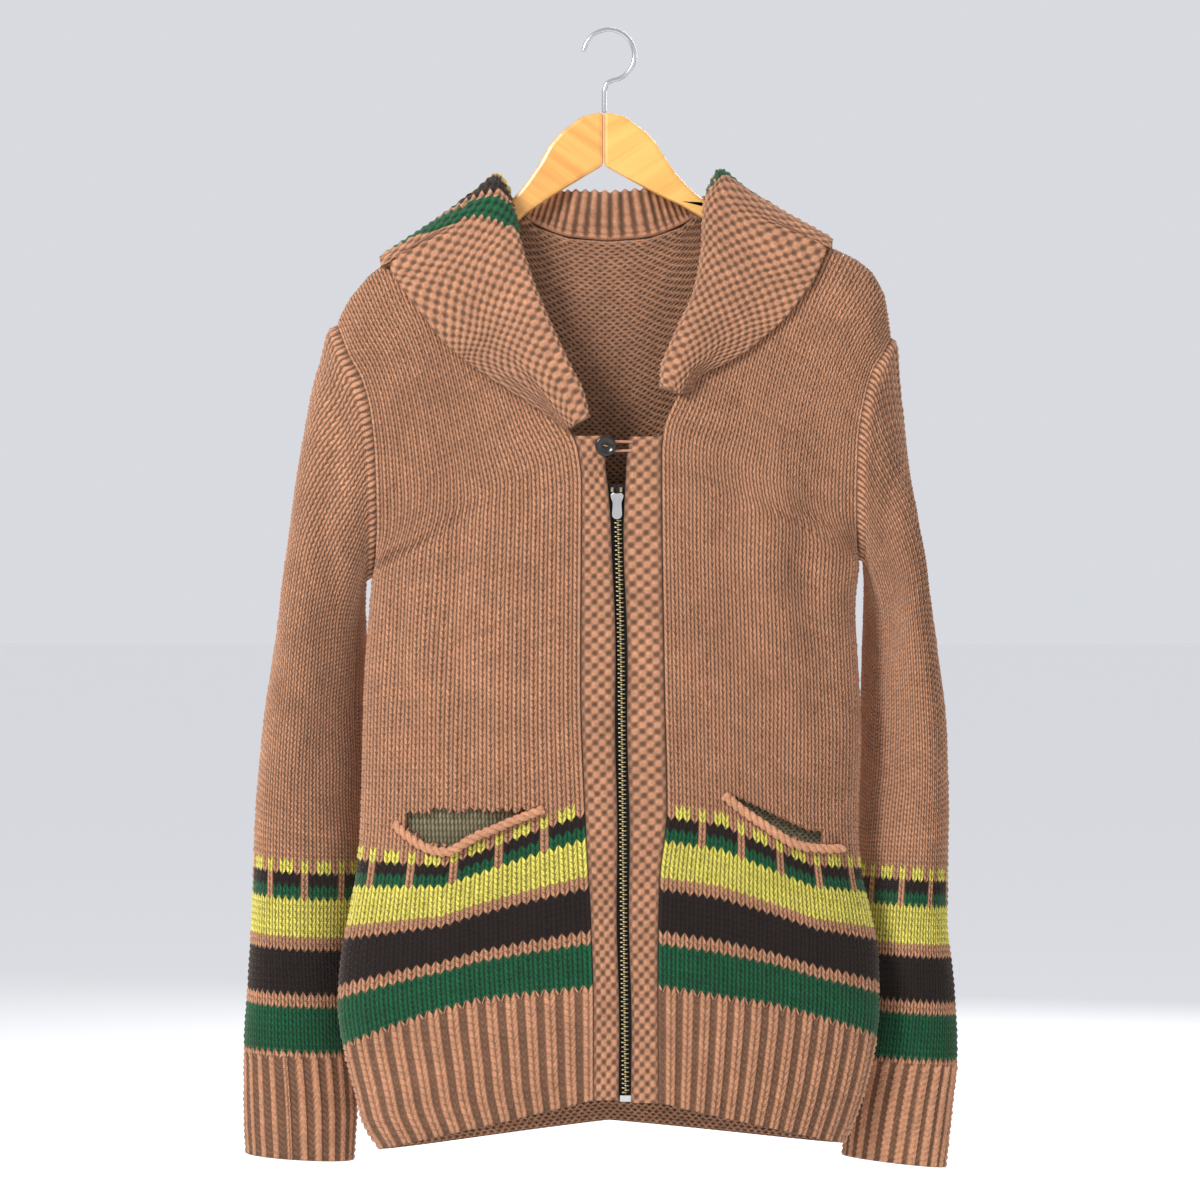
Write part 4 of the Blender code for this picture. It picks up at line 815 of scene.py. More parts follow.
for side, way in SIDES.items():
    arm_rows = np.linspace(0, UNDERARM, 60)
    front_arm = side_edge(side, arm_rows)
    loop = np.concatenate([front_arm, (front_arm * [1, -1, 1])[-2:0:-1]])
    loop = along(np.concatenate([loop, loop[:1]]), SLEEVE_STITCHES * 4 + 1)[:-1]
    base = sleeve_tube(side, loop, np.linspace(0, 1, 241))
    level = (1 + np.cos(np.arange(base.shape[1]) / base.shape[1] * 2 * np.pi)) / 2
    (top_out, top_in), (rib_out, rib_in) = SLEEVE_MARKS[side]
    total = SLEEVE_PLAIN + STRIPE_ROWS + RIB_ROWS
    marks = ([0, SLEEVE_PLAIN, SLEEVE_PLAIN + STRIPE_ROWS, total],
             [base[0, :, 2], level * top_out + (1 - level) * top_in,
              level * rib_out + (1 - level) * rib_in, base[-1, :, 2]])
    if side == "left":
        base = np.roll(base[:, ::-1], 1, axis=1)
        marks = (marks[0], [np.roll(mark[::-1], 1) for mark in marks[1]])
    u = np.arange(SLEEVE_STITCHES * 4)[None] / 4
    phase = np.arange(total * 2 + 1)[:, None] / 2
    calm = np.clip(np.minimum(phase, total - phase) / 1.5, 0, 1)
    in_rib = np.clip(phase - (total - RIB_ROWS), 0, 1)
    row = legs(u, phase, LEG_SLOPE * calm * (1 - 0.2 * in_rib))
    calm_grid = place_rows(base, phase + 0 * u, marks)
    normals = face_normals(calm_grid, closed=True)
    fade = np.clip(np.arange(total * 2 + 1) / 16, 0, 1)[:, None, None]
    front_only = np.clip(-normals[..., 1:2] * 2, -1, 1) * fade
    folded = [creased(g, normals * front_only, SLEEVE_FOLDS[side])
              for g in (place_rows(base, row, marks), calm_grid)]
    height = np.where(in_rib > 0.5, ribbed(u * 46 / 45, phase), stockinette(u, phase))
    lump = STITCH_JITTER.normal(0, 0.1, (total + 1, SLEEVE_STITCHES)).repeat(2, 0).repeat(4, 1)
    lift = 0.0015 * (height * (1 + lump[:height.shape[0]]) - 0.45) * np.where(in_rib > 0.5, 1.5, 1)
    across = (np.roll(folded[1], -1, axis=1) - np.roll(folded[1], 1, axis=1)) * 2
    outer = folded[0] + normals * lift[..., None]
    outer += across * lean(u, phase, in_rib)[..., None]
    inner = (folded[1] - normals * CLOTH)[::2, ::2]
    stitch_row = np.arange(total * 2) // 2
    stitch_column = np.arange(SLEEVE_STITCHES * 4) // 4
    chart = interlock(stitch_row[:, None] - SLEEVE_PLAIN, stitch_column[None] % 5)
    tone = shades(total, SLEEVE_STITCHES, np.zeros((total, SLEEVE_STITCHES), int)) / YARNS[0]
    colour = YARNS[chart] * tone[stitch_row][:, stitch_column]
    sleeve = knitted("knitted_sleeve_" + side, outer, inner, height, (0.25, 0.5), colour, closed=True)
    sleeve.data.materials.append(face_wool)
    sleeve.data.materials.append(back_wool)
    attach(sleeve, "cardigan")
    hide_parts("sleeve_" + side)


# Bands: two narrow strips of moss stitch down the fronts' edges, turned back over the zip tapes.
# They start where the collar ends and run to the hem.
def moss(column, row):
    """Height of moss stitch, 0 to 1: round bumps on every second place, as on a chessboard."""
    return (0.5 + 0.5 * np.cos(np.pi * column) * np.cos(np.pi * row)) ** 1.3


# Inner edges of the front bands along the zip: height, left band, right band
BAND_EDGE = [(-0.3058, 0.0005, 0.0150), (-0.3252, -0.0030, 0.0124), (-0.3470, -0.0003, 0.0118),
             (-0.3742, 0.0022, 0.0112), (-0.4898, 0.0050, 0.0136), (-0.6326, 0.0062, 0.0150),
             (-0.7822, 0.0078, 0.0166), (-0.8040, 0.0080, 0.0168)]
BAND_COLUMNS, BAND_ROWS = 5, 104
for side, way in SIDES.items():
    rows = np.linspace(BAND_TOP, 1, BAND_ROWS * 3 + 1)
    seam = inner_edge(side, rows)
    zip_side = seam.copy()
    zip_side[:, 0] = down(BAND_EDGE, seam[:, 2], 1 if side == "left" else 2)
    share = np.linspace(0.01, 0.985, BAND_COLUMNS * 4 + 1)
    grid = zip_side[:, None] + (seam - zip_side)[:, None] * share[None, :, None]
    u = np.arange(BAND_COLUMNS * 4 + 1)[None] / 4
    phase = np.arange(BAND_ROWS * 3 + 1)[:, None] / 3
    if side == "right":
        grid = grid[:, ::-1]
    round_edge = 1 - (2 * np.abs(share - 0.5)) ** 6
    grid[..., 0] += 0.0006 * np.sin(phase * 0.21 + 1.3) * (1 - share if way > 0 else share)
    height = moss(u, phase)
    outer = grid + np.array([0, -1, 0]) * (0.0022 * (height - 0.4) * round_edge
                                           + 0.0010 * round_edge)[..., None]
    inner = (grid + [0, CLOTH - 0.0006, 0])[::2, ::2]
    cells = np.arange(BAND_ROWS * 3) // 3
    tone = shades(BAND_ROWS, BAND_COLUMNS, np.zeros((BAND_ROWS, BAND_COLUMNS), int))
    colour = tone[cells][:, np.arange(BAND_COLUMNS * 4) // 4]
    # The relief falls to nothing at the band's edges, so the shader paints shade along them as well as
    # between the stitches.
    band = knitted("knitted_band_" + side, outer, inner, height * round_edge, (0.25, 1 / 3), colour)
    band.data.materials.append(face_wool)
    band.data.materials.append(back_wool)
    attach(band, "cardigan")
    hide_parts("band_" + side)


# Collar: a deep shawl collar in moss stitch, sewn on round the neck. It stands up inside the
# neck, folds over and falls on the fronts and the back. Stripes cross it behind each shoulder.
# Collar: share of the rows down the neck edge where it is sewn on, how far its fold stands over
# the neck opening, how far the fold is lifted off the front, outer edge of its fall (across, height)
COLLAR_FRONT = {
    "left": [(0.006, 0.0025, 0.0125, -0.1690, -0.1715), (0.030, 0.008, 0.011, -0.1640, -0.1800),
             (0.070, 0.0125, 0.010, -0.1510, -0.2008), (0.122, 0.016, 0.009, -0.1204, -0.2382),
             (0.180, 0.019, 0.008, -0.0972, -0.2565), (0.236, 0.021, 0.0065, -0.0430, -0.2930),
             (0.262, 0.015, 0.0055, -0.0330, -0.3030)],
    "right": [(0.006, 0.0025, 0.0155, 0.1666, -0.1560), (0.025, 0.007, 0.0125, 0.1618, -0.1668),
              (0.062, 0.0075, 0.010, 0.1516, -0.1906), (0.113, 0.008, 0.009, 0.1312, -0.2178),
              (0.162, 0.013, 0.008, 0.1040, -0.2416), (0.209, 0.016, 0.0065, 0.0660, -0.2640),
              (0.224, 0.012, 0.0055, 0.0600, -0.2745)],
}
# The same across the back, by the place on the neck seam (across)
COLLAR_BACK = [(-0.0765, 0.002, 0.0130, -0.1690, -0.1765), (-0.0740, 0.005, 0.0125, -0.1680, -0.1810),
               (-0.0690, 0.012, 0.0120, -0.1620, -0.1950), (-0.0550, 0.026, 0.010, -0.1200, -0.2140),
               (-0.0300, 0.033, 0.009, -0.0600, -0.2180), (0.0, 0.034, 0.009, 0.0, -0.2170),
               (0.0300, 0.034, 0.009, 0.0600, -0.2150), (0.0550, 0.028, 0.010, 0.1200, -0.2060),
               (0.0690, 0.012, 0.0135, 0.1600, -0.1850), (0.0740, 0.005, 0.0150, 0.1650, -0.1670),
               (0.0765, 0.002, 0.0155, 0.1664, -0.1625)]


def dense(name):
    """A fine grid of a panel's outer surface and its outward normals."""
    rows = np.linspace(0, 1, 321) ** 1.15
    if name == "back":
        grid = back_panel(np.linspace(0, 1, 41), 81, rows)
    else:
        grid = front_panel(name, 101, rows)
        grid = grid if name == "left" else grid[:, ::-1]
    normals = face_normals(grid)
    normals[0, abs(grid[0, :, 1]) < 1e-4, 1] = 0
    return grid, normals / np.linalg.norm(normals, axis=2, keepdims=True)



def nearest(name, across, height):
    """Row and column of the fine grid's point nearest to a place seen from the front."""
    grid = fine[name][0]
    far = (grid[..., 0] - across) ** 2 + (grid[..., 2] - height) ** 2
    return np.unravel_index(np.argmin(far), far.shape)


def on_panel(name, places, lift):
    """Points over the panel at the given (across, height), lifted off it along its normals."""
    grid, normals = fine[name]
    made = []
    for (across, height), up in zip(places, np.broadcast_to(lift, len(places))):
        row, column = nearest(name, across, height)
        point, normal = grid[row, column], normals[row, column]
        off = np.array([across - point[0], 0, height - point[2]])
        off[1] = -(normal[0] * off[0] + normal[2] * off[2]) / normal[1]
        made.append(point + off + normal * up)
    return np.array(made)


def collar_section(name, start, end, rise, lift):
    """The collar's two faces across one station: from the seam up to the fold, then over it and
    down its fall, which lies on the panel between two places of the fine grid."""
    grid, normals = fine[name]
    seam, normal = grid[start], normals[start]
    reach = np.linspace(0, 1, 6)[1:]
    rows = np.round(start[0] + reach * (end[0] - start[0])).astype(int)
    columns = np.round(start[1] + reach * (end[1] - start[1])).astype(int)
    along_panel = grid[end] - seam
    along_panel -= normal * (along_panel @ normal)
    over = -along_panel / np.linalg.norm(along_panel)
    if name == "back":
        over = over * [0.35, 1, 1]  # the stand rises nearly upright behind the neck
    elif start[0] > 8:
        edge = grid[start[0] + 3, start[1]] - grid[start[0] - 3, start[1]]
        square = np.cross(edge, normal) * (1 if name == "right" else -1)
        square *= np.sign(square @ over)
        blend = min(1, (start[0] - 8) / 24)
        over = over * (1 - blend) + blend * square / np.linalg.norm(square)
    over /= np.linalg.norm(over)
    stand = [(0.0009, -0.0010), (0.0009, 0.0012), (0.0009 + 0.55 * rise, 0.5 * lift),
             (0.62 * rise, lift), (-0.001, 0.95 * lift)]
    cover = [(0.0049, -0.0010), (0.0052, 0.0006), (rise + 0.0025, 0.35 * lift),
             (rise + 0.0015, lift + 0.0030), (0.35 * rise, lift + 0.0046)]
    under = [seam + over * a + normal * b for a, b in stand]
    top = [seam + over * a + normal * b for a, b in cover]
    rest = smooth(reach, [0, 0.3, 1], [lift, 0.55 * lift + 0.0010, 0.0022])
    for k, height in enumerate(rest):
        point, out = grid[rows[k], columns[k]], normals[rows[k], columns[k]]
        under.append(point + out * height)
        top.append(point + out * (height + CLOTH))
    return np.array(under), np.array(top)

fine = {name: dense(name) for name in ("left", "right", "back")}
under, top = [], []
for side, order in (("left", -1), ("back", 1), ("right", 1)):
    grid = fine[side][0]
    if side == "back":
        table = np.array(COLLAR_BACK)
        stations = np.concatenate([[-0.0765, -0.0740], np.linspace(-0.069, 0.069, 13),
                                   [0.0740, 0.0765]])
    else:
        # the first three lie on the shoulder seam and just in front of it, row by row
        table = np.array(COLLAR_FRONT[side])
        stations = np.concatenate([[0, 0.0029, 0.0065, 0.018],
                                   np.linspace(0.040, table[-1, 0], 10)])[::order]
    for place in stations:
        rise, lift, across, height = (smooth(max(place, table[0, 0]) if side != "back" else place,
                                             table[:, 0], table[:, c]) for c in range(1, 5))
        end = nearest(side, across, height)
        if side == "back":
            start = (0, int(np.argmin(abs(grid[0, :, 0] - place))))
        else:
            row = int(np.argmin(abs(np.linspace(0, 1, 321) ** 1.15 - place)))
            start = (row, 0 if side == "left" else grid.shape[1] - 1)
            if place < 0.01:
                end = (row, int(np.argmin(abs(grid[row, :, 0] - across))))
        section = collar_section(side, start, end, rise, lift)
        under.append(section[0])
        top.append(section[1])
under, top = np.array(under), np.array(top)


def refine(coarse, row_knots, column_knots, rows, columns):
    """A dense grid through a coarse one: the smooth cubic is carried first across every station
    and then from station to station."""
    wide = np.stack([[smooth(np.linspace(0, 1, columns), column_knots, line[:, axis])
                      for line in coarse] for axis in range(3)], 2)
    return np.stack([[smooth(np.linspace(0, 1, rows), row_knots, wide[:, k, axis])
                      for k in range(columns)] for axis in range(3)], 2).transpose(1, 0, 2)


ridge = top[:, 3]
run = np.concatenate([[0], np.cumsum(np.linalg.norm(np.diff(ridge, axis=0), axis=1))])
spread = np.linalg.norm(np.diff(top, axis=1), axis=2).mean(0)
knots = np.concatenate([[0], np.cumsum(spread)]) / spread.sum()
COLLAR_ROWS, COLLAR_COLUMNS = 168, 24
size = (COLLAR_ROWS * 3 + 1, COLLAR_COLUMNS * 3 + 1)
run_knots = run / run[-1]
outer = refine(top, run_knots, knots, *size)
inner = refine(under, run_knots, knots, *size)
u = np.arange(size[1])[None] / 3
phase = np.arange(size[0])[:, None] / 3
length = np.linspace(0, run[-1], size[0])[:, None]
middle_run = run[len(under) // 2]
from_middle = length - middle_run
share = np.linspace(0, 1, size[1])[None]
STRIPE_START = {-1: 0.080, 1: 0.052}  # front end of the green, past the shoulder, by side
shoulder_run = (abs(run[14] - middle_run) + abs(run[30] - middle_run)) / 2
slant = 0.085 * (share - 0.3) * np.clip(abs(from_middle) / shoulder_run, 0, 1) ** 1.2
colour = np.zeros(size, int)
for way, start in STRIPE_START.items():
    back_of = start - (np.where(way * from_middle > 0, abs(from_middle), 9) - shoulder_run
                               + slant)
    for first, last, yarn in ((0, 0.020, 3), (0.026, 0.046, 2), (0.052, 0.068, 1)):
        colour = np.where((back_of > first) & (back_of <= last), yarn, colour)
stand = np.clip((0.27 - share) * 30, 0, 1) * np.clip((shoulder_run * 0.8 - abs(from_middle)) * 60, 0, 1)
ribs = 0.5 + 0.5 * np.cos(2 * np.pi * length / 0.0078)
ribs = ribs * (0.72 + 0.28 * np.cos(2 * np.pi * u * 1.4))
height = moss(u, phase) * (1 - stand) + ribs * stand
normals = face_normals(outer)
if (normals * (outer - inner)).sum() < 0:
    normals = -normals
ends = np.minimum(1, np.minimum(u, COLLAR_COLUMNS - u) * 1.5)
outer += normals * (0.0023 * (height - 0.4) * ends)[..., None]
if (face_normals(outer) * normals).sum() < 0:
    outer, inner, colour, height = outer[:, ::-1], inner[:, ::-1], colour[:, ::-1], height[:, ::-1]
stitch = (np.arange(size[0] - 1) // 3)[:, None], (np.arange(size[1] - 1) // 3)[None]
tone = shades(COLLAR_ROWS, COLLAR_COLUMNS, np.zeros((COLLAR_ROWS, COLLAR_COLUMNS), int)) / YARNS[0]
collar = knitted("knitted_collar", outer, inner[::2, ::2], height, (1 / 3, 1 / 3),
                 YARNS[colour[stitch[0] * 3 + 1, stitch[1] * 3 + 1]] * tone[stitch])
collar.data.materials.append(face_wool)
collar.data.materials.append(face_wool)
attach(collar, "cardigan")
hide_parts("collar")


# Pockets: slanting mouths cut into the fronts. The lower lip is edged with a chain of the tan
# yarn, and a bag of thin olive-grey wool hangs behind the mouth.
def sweep(name, path, radius, sides=10, turns=1.0):
    """A round cord along a path of many points, radius at each: rings stand square to the path,
    carried on from ring to ring, and round ends close it. Returns the object."""
    path = np.asarray(path, float)
    step = np.gradient(path, axis=0)
    step /= np.linalg.norm(step, axis=1, keepdims=True)
    aside = np.cross(step, [0.13, 0.97, 0.21])
    aside /= np.linalg.norm(aside, axis=1, keepdims=True)
    other = np.cross(step, aside)
    angle = np.linspace(0, 2 * np.pi, sides, endpoint=False)
    radius = np.broadcast_to(radius, len(path))
    rings = path[:, None] + radius[:, None, None] * (np.cos(angle)[None, :, None] * aside[:, None]
                                                     + np.sin(angle)[None, :, None] * other[:, None])
    n = len(path)
    a = (np.arange(n - 1)[:, None] * sides + np.arange(sides)[None]).ravel()
    b = (np.arange(n - 1)[:, None] * sides + (np.arange(sides)[None] + 1) % sides).ravel()
    quads = np.stack([a, b, b + sides, a + sides], 1)
    fan = np.arange(sides)
    start = np.stack([(fan + 1) % sides, fan, np.full(sides, n * sides)], 1)
    finish = np.stack([fan + (n - 1) * sides, (fan + 1) % sides + (n - 1) * sides,
                       np.full(sides, n * sides + 1)], 1)
    points = np.concatenate([rings.reshape(-1, 3), [path[0] - step[0] * radius[0] * 0.5],
                             [path[-1] + step[-1] * radius[-1] * 0.5]])
    along_path = np.concatenate([[0], np.cumsum(np.linalg.norm(np.diff(path, axis=0), axis=1))])
    scale = turns / (2 * np.pi * max(radius.max(), 1e-6))
    u_of = np.concatenate([np.tile(np.arange(sides) / sides, n), [0.5, 0.5]])
    v_of = np.concatenate([np.repeat(along_path * scale, sides), [0, along_path[-1] * scale]])
    faces = [quads, start, finish]
    corners = [np.stack([u_of[f], v_of[f]], 2) for f in faces]
    corners[0][:, 1:3, 0] = np.where(corners[0][:, 1:3, 0] < corners[0][:, :1, 0],
                                     corners[0][:, 1:3, 0] + 1, corners[0][:, 1:3, 0])
    yarn = [np.tile(YARNS[0], (len(f), 1)) for f in faces]
    return sheet_mesh(name, faces, corners, points, np.full(len(points), 0.75), yarn,
                      [np.zeros(len(f), int) for f in faces])


def join(name, pieces):
    """Joins pieces into the first of them, under a new name."""
    with bpy.context.temp_override(active_object=pieces[0], selected_editable_objects=pieces):
        bpy.ops.object.join()
    pieces[0].name = name
    pieces[0].data.name = name
    return pieces[0]


def plaited(name, path, strands, radius, wide, pitch):
    """Strands wound round a path: each runs on a helix of the given half width and pitch."""
    path = along(path, 24 * max(4, int(np.linalg.norm(np.diff(path, axis=0), axis=1).sum() / pitch)))
    run = np.concatenate([[0], np.cumsum(np.linalg.norm(np.diff(path, axis=0), axis=1))])
    step = np.gradient(path, axis=0)
    step /= np.linalg.norm(step, axis=1, keepdims=True)
    aside = np.cross(step, [0, 1, 0])
    aside /= np.linalg.norm(aside, axis=1, keepdims=True)
    out = np.cross(step, aside)
    made = []
    for k in range(strands):
        turn = 2 * np.pi * (run / pitch + k / strands)
        line = path + wide * (np.cos(turn)[:, None] * aside + np.sin(turn)[:, None] * out)
        swell = radius * (1 + 0.06 * np.sin(run / pitch * 13 + k))
        made.append(sweep(name + str(k), line, swell, 10, turns=0.6))
    return join(name, made)


cord_wool = wool_material("Wool, single strands", plies=1.5)
LINING_WOOL = srgb(150, 140, 108)
LINING_ROWS, LINING_COLUMNS = 24, 18
LINING_DEEP, LINING_ROOM, EDGING = 0.115, 0.0095, 0.0033
for side, way in SIDES.items():
    lip = np.array(POCKET_LIP[side])
    path = on_panel(side, along(lip, 40), EDGING + 0.0004)
    edge = plaited("chain_edging_" + side, path, 2, 0.00215, 0.0015, 0.0125)
    edge.data.materials.append(cord_wool)
    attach(edge, "cardigan")
    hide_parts("pocket_edge_" + side)
    mouth = [(x, z + 0.0034) for x, z in lip[1:-1]] + POCKET_TOP[side]
    top_z = max(z for _, z in mouth) + 0.006
    rows, columns = LINING_ROWS * 2 + 1, LINING_COLUMNS * 4 + 1
    xs = np.linspace(*np.clip(lip[[0, -1], 0], -0.156, 0.163), columns)
    zs = np.linspace(top_z, top_z - LINING_DEEP, rows)
    if way > 0:
        xs = xs[::-1]
    places = [(x, z) for z in zs for x in xs]
    belly = np.outer(np.sin(np.linspace(0, np.pi, rows)) ** 1.6,
                     np.sin(np.linspace(0, np.pi, columns)) ** 0.8)
    lift = -(CLOTH + 0.0020 + LINING_ROOM * belly).ravel()
    near = on_panel(side, places, lift).reshape(rows, columns, 3)
    u = np.arange(columns)[None] / 4
    phase = np.arange(rows)[:, None] / 2
    height = stockinette(u, legs(u, phase, -1.4)) + 0 * phase
    normals = face_normals(near)
    far = near - normals * 0.0015
    yarn = np.tile(np.array(LINING_WOOL), (rows - 1, columns - 1, 1))
    yarn[..., :3] *= STITCH_JITTER.normal(1, 0.07, (rows - 1, columns - 1, 1))
    lining = knitted("pocket_bag_" + side, near + normals * (0.0013 * height)[..., None],
                     far[::2, ::2], height, (0.25, 0.5), yarn)
    lining.data.materials.append(face_wool)
    lining.data.materials.append(back_wool)
    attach(lining, "cardigan")
    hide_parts("pocket_lining_" + side)


# Zip: two rows of pressed metal teeth on black woven tapes, closed by a plated slider with a
# hanging pull. The tapes are sewn behind the bands, and the teeth show between them.
ZIP_LINE = [(-0.3400, 0.0054), (-0.3742, 0.0068), (-0.4898, 0.0092), (-0.6326, 0.0106),
            (-0.7822, 0.0122), (-0.8040, 0.0126)]  # height, across
ZIP_TOP, ZIP_FOOT, TOOTH_PITCH = -0.3600, -0.7975, 0.0034


def rounded_lumps(name, centres, half, power=0.35, sides=10, rings=6):
    """Many small rounded blocks as one mesh. Each is a ball whose sines and cosines are raised
    to a low power, which squares it, stretched to its half sizes."""
    turn = np.linspace(0, 2 * np.pi, sides, endpoint=False) + np.pi / sides
    rise = np.linspace(-np.pi / 2, np.pi / 2, rings)[1:-1]

    def squared(value):
        return np.sign(value) * np.abs(value) ** power

    ring = np.stack(np.broadcast_arrays(squared(np.cos(turn))[None] * squared(np.cos(rise))[:, None],
                                        squared(np.sin(turn))[None] * squared(np.cos(rise))[:, None],
                                        squared(np.sin(rise))[:, None]), 2).reshape(-1, 3)
    one = np.concatenate([ring, [[0, 0, -1], [0, 0, 1]]]) * half
    levels = rings - 2
    a = (np.arange(levels - 1)[:, None] * sides + np.arange(sides)[None]).ravel()
    b = (np.arange(levels - 1)[:, None] * sides + (np.arange(sides)[None] + 1) % sides).ravel()
    quads = np.stack([a, b, b + sides, a + sides], 1)
    fan = np.arange(sides)
    foot = np.stack([(fan + 1) % sides, fan, np.full(sides, levels * sides)], 1)
    last = (levels - 1) * sides
    head = np.stack([fan + last, (fan + 1) % sides + last, np.full(sides, levels * sides + 1)], 1)
    points = (centres[:, None] + one[None]).reshape(-1, 3)
    shift = (np.arange(len(centres)) * len(one))[:, None, None]
    faces = [(f[None] + shift).reshape(-1, f.shape[1]) for f in (quads, foot, head)]
    mesh = bpy.data.meshes.new(name)
    mesh.from_pydata(points.tolist(), [], [tuple(f) for group in faces for f in group.tolist()])
    mesh.shade_smooth()
    made = bpy.data.objects.new(name, mesh)
    bpy.context.collection.objects.link(made)
    return made


def metal_material(name, colour, roughness, wear):
    """Plated metal: its tone and polish shift in soft clouds, and fine scratches catch light."""
    made = bpy.data.materials.new(name)
    made.use_nodes = True
    tree = made.node_tree
    shader = tree.nodes["Principled BSDF"]
    shader.inputs["Metallic"].default_value = 1.0
    place = tree.nodes.new("ShaderNodeTexCoord")
    cloud = tree.nodes.new("ShaderNodeTexNoise")
    cloud.inputs["Scale"].default_value = 600
    cloud.inputs["Detail"].default_value = 4
    tree.links.new(place.outputs["Object"], cloud.inputs["Vector"])
    tone = tree.nodes.new("ShaderNodeMixRGB")
    tone.inputs["Color1"].default_value = colour
    tone.inputs["Color2"].default_value = tuple(part * wear for part in colour[:3]) + (1,)
    polish = tree.nodes.new("ShaderNodeMapRange")
    polish.inputs["To Min"].default_value = roughness * 0.7
    polish.inputs["To Max"].default_value = roughness * 1.4
    for target in (tone.inputs["Fac"], polish.inputs["Value"]):
        tree.links.new(cloud.outputs["Fac"], target)
    tree.links.new(tone.outputs["Color"], shader.inputs["Base Color"])
    tree.links.new(polish.outputs["Result"], shader.inputs["Roughness"])
    return made


def dress(node, finish):
    """Gives a CAD solid its finish, shaded smooth but for its corners."""
    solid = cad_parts[node]
    solid.data.materials.clear()
    solid.data.materials.append(finish)
    solid.data.shade_smooth()
    solid.data.set_sharp_from_angle(angle=math.radians(32))


brass = metal_material("Pale brass", srgb(205, 188, 140), 0.32, 0.6)
nickel = metal_material("Plated nickel", srgb(226, 226, 224), 0.22, 0.8)
steel = metal_material("Steel wire", srgb(205, 206, 208), 0.2, 0.85)
for side, way in SIDES.items():
    first = 0 if side == "left" else TOOTH_PITCH / 2
    heights_down = np.arange(ZIP_TOP - 0.0005 - first, ZIP_FOOT + 0.0005, -TOOTH_PITCH)
    centres = np.stack([down(ZIP_LINE, heights_down, 1) - way * 0.0010,
                        down(NECK_DEPTH, heights_down, 1) + CLOTH - 0.0012, heights_down], 1)
    teeth = rounded_lumps("zip_teeth_" + side, centres, np.array([0.0019, 0.0011, 0.00050]))
    teeth.data.materials.append(brass)
    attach(teeth, "cardigan")
    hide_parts("zip_chain_" + side)

tape_cloth = bpy.data.materials.new("Black woven tape")
tape_cloth.use_nodes = True
tree = tape_cloth.node_tree
shader = tree.nodes["Principled BSDF"]
shader.inputs["Roughness"].default_value = 0.85
place = tree.nodes.new("ShaderNodeTexCoord")
weave = tree.nodes.new("ShaderNodeTexWave")
weave.bands_direction = "DIAGONAL"
weave.inputs["Scale"].default_value = 420
weave.inputs["Distortion"].default_value = 0.4
tree.links.new(place.outputs["Object"], weave.inputs["Vector"])
tone = tree.nodes.new("ShaderNodeMixRGB")
tone.inputs["Color1"].default_value = srgb(20, 19, 20)
tone.inputs["Color2"].default_value = srgb(46, 44, 44)
tree.links.new(weave.outputs["Fac"], tone.inputs["Fac"])
tree.links.new(tone.outputs["Color"], shader.inputs["Base Color"])
bump = tree.nodes.new("ShaderNodeBump")
bump.inputs["Distance"].default_value = 0.0003
tree.links.new(weave.outputs["Fac"], bump.inputs["Height"])
tree.links.new(bump.outputs["Normal"], shader.inputs["Normal"])
for node, finish in (("zip_tape_left", tape_cloth), ("zip_tape_right", tape_cloth),
                     ("zip_slider", nickel), ("zip_pull", nickel), ("zip_stop_left", brass),
                     ("zip_stop_right", brass), ("zip_end", nickel)):
    dress(node, finish)


# Button: a glossy black disc with a raised rim and two holes, sewn on with tan thread through a
# shank of yarn, at the top of the left band.
low, high = (Vector(corner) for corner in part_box("button"))
BUTTON_RIM, BUTTON_RINGS, BUTTON_SIDES = (high.x - low.x) / 2, 40, 64
hub = np.array([(low.x + high.x) / 2, low.y, (low.z + high.z) / 2])
profile = [(0, 0.0010), (0.30, 0.0010), (0.50, 0.0009), (0.62, 0.0004), (0.74, 0.0000),
           (0.88, 0.0002), (0.97, 0.0009), (1.0, 0.0016), (0.98, 0.0024), (0.90, 0.0030), (0.5, 0.0032),
           (0, 0.0032)]  # share of the rim, depth behind the foremost plane
line = along(np.array(profile) * [BUTTON_RIM, 1], BUTTON_RINGS)
turn = np.linspace(0, 2 * np.pi, BUTTON_SIDES, endpoint=False)
rings = np.stack([hub[0] + line[1:-1, :1] * np.cos(turn), hub[1] + line[1:-1, 1:] + 0 * turn,
                  hub[2] + line[1:-1, :1] * np.sin(turn)], 2)
for way in (-1, 1):
    gap = np.hypot(rings[..., 0] - hub[0] - way * 0.0016, rings[..., 2] - hub[2])
    front_side = np.arange(len(rings))[:, None] < BUTTON_RINGS * 0.5
    rings[..., 1] += 0.0016 * np.clip(1 - gap / 0.0011, 0, 1) ** 0.5 * front_side
count, levels = BUTTON_SIDES, len(rings)
a = (np.arange(levels - 1)[:, None] * count + np.arange(count)[None]).ravel()
b = (np.arange(levels - 1)[:, None] * count + (np.arange(count)[None] + 1) % count).ravel()
quads = np.stack([a, b, b + count, a + count], 1)
fan = np.arange(count)
caps = np.concatenate([np.stack([(fan + 1) % count, fan, np.full(count, levels * count)], 1),
                       np.stack([fan + (levels - 1) * count, (fan + 1) % count + (levels - 1) * count,
                                 np.full(count, levels * count + 1)], 1)])
points = np.concatenate([rings.reshape(-1, 3), [hub + [0, line[0, 1], 0]], [hub + [0, line[-1, 1], 0]]])
mesh = bpy.data.meshes.new("glossy_button")
mesh.from_pydata(points.tolist(), [], [tuple(f) for f in quads.tolist() + caps.tolist()])
mesh.shade_smooth()
button = bpy.data.objects.new("glossy_button", mesh)
bpy.context.collection.objects.link(button)
horn = bpy.data.materials.new("Black horn plastic")
horn.use_nodes = True
tree = horn.node_tree
shader = tree.nodes["Principled BSDF"]
shader.inputs["Coat Weight"].default_value = 0.25
cloud = tree.nodes.new("ShaderNodeTexNoise")
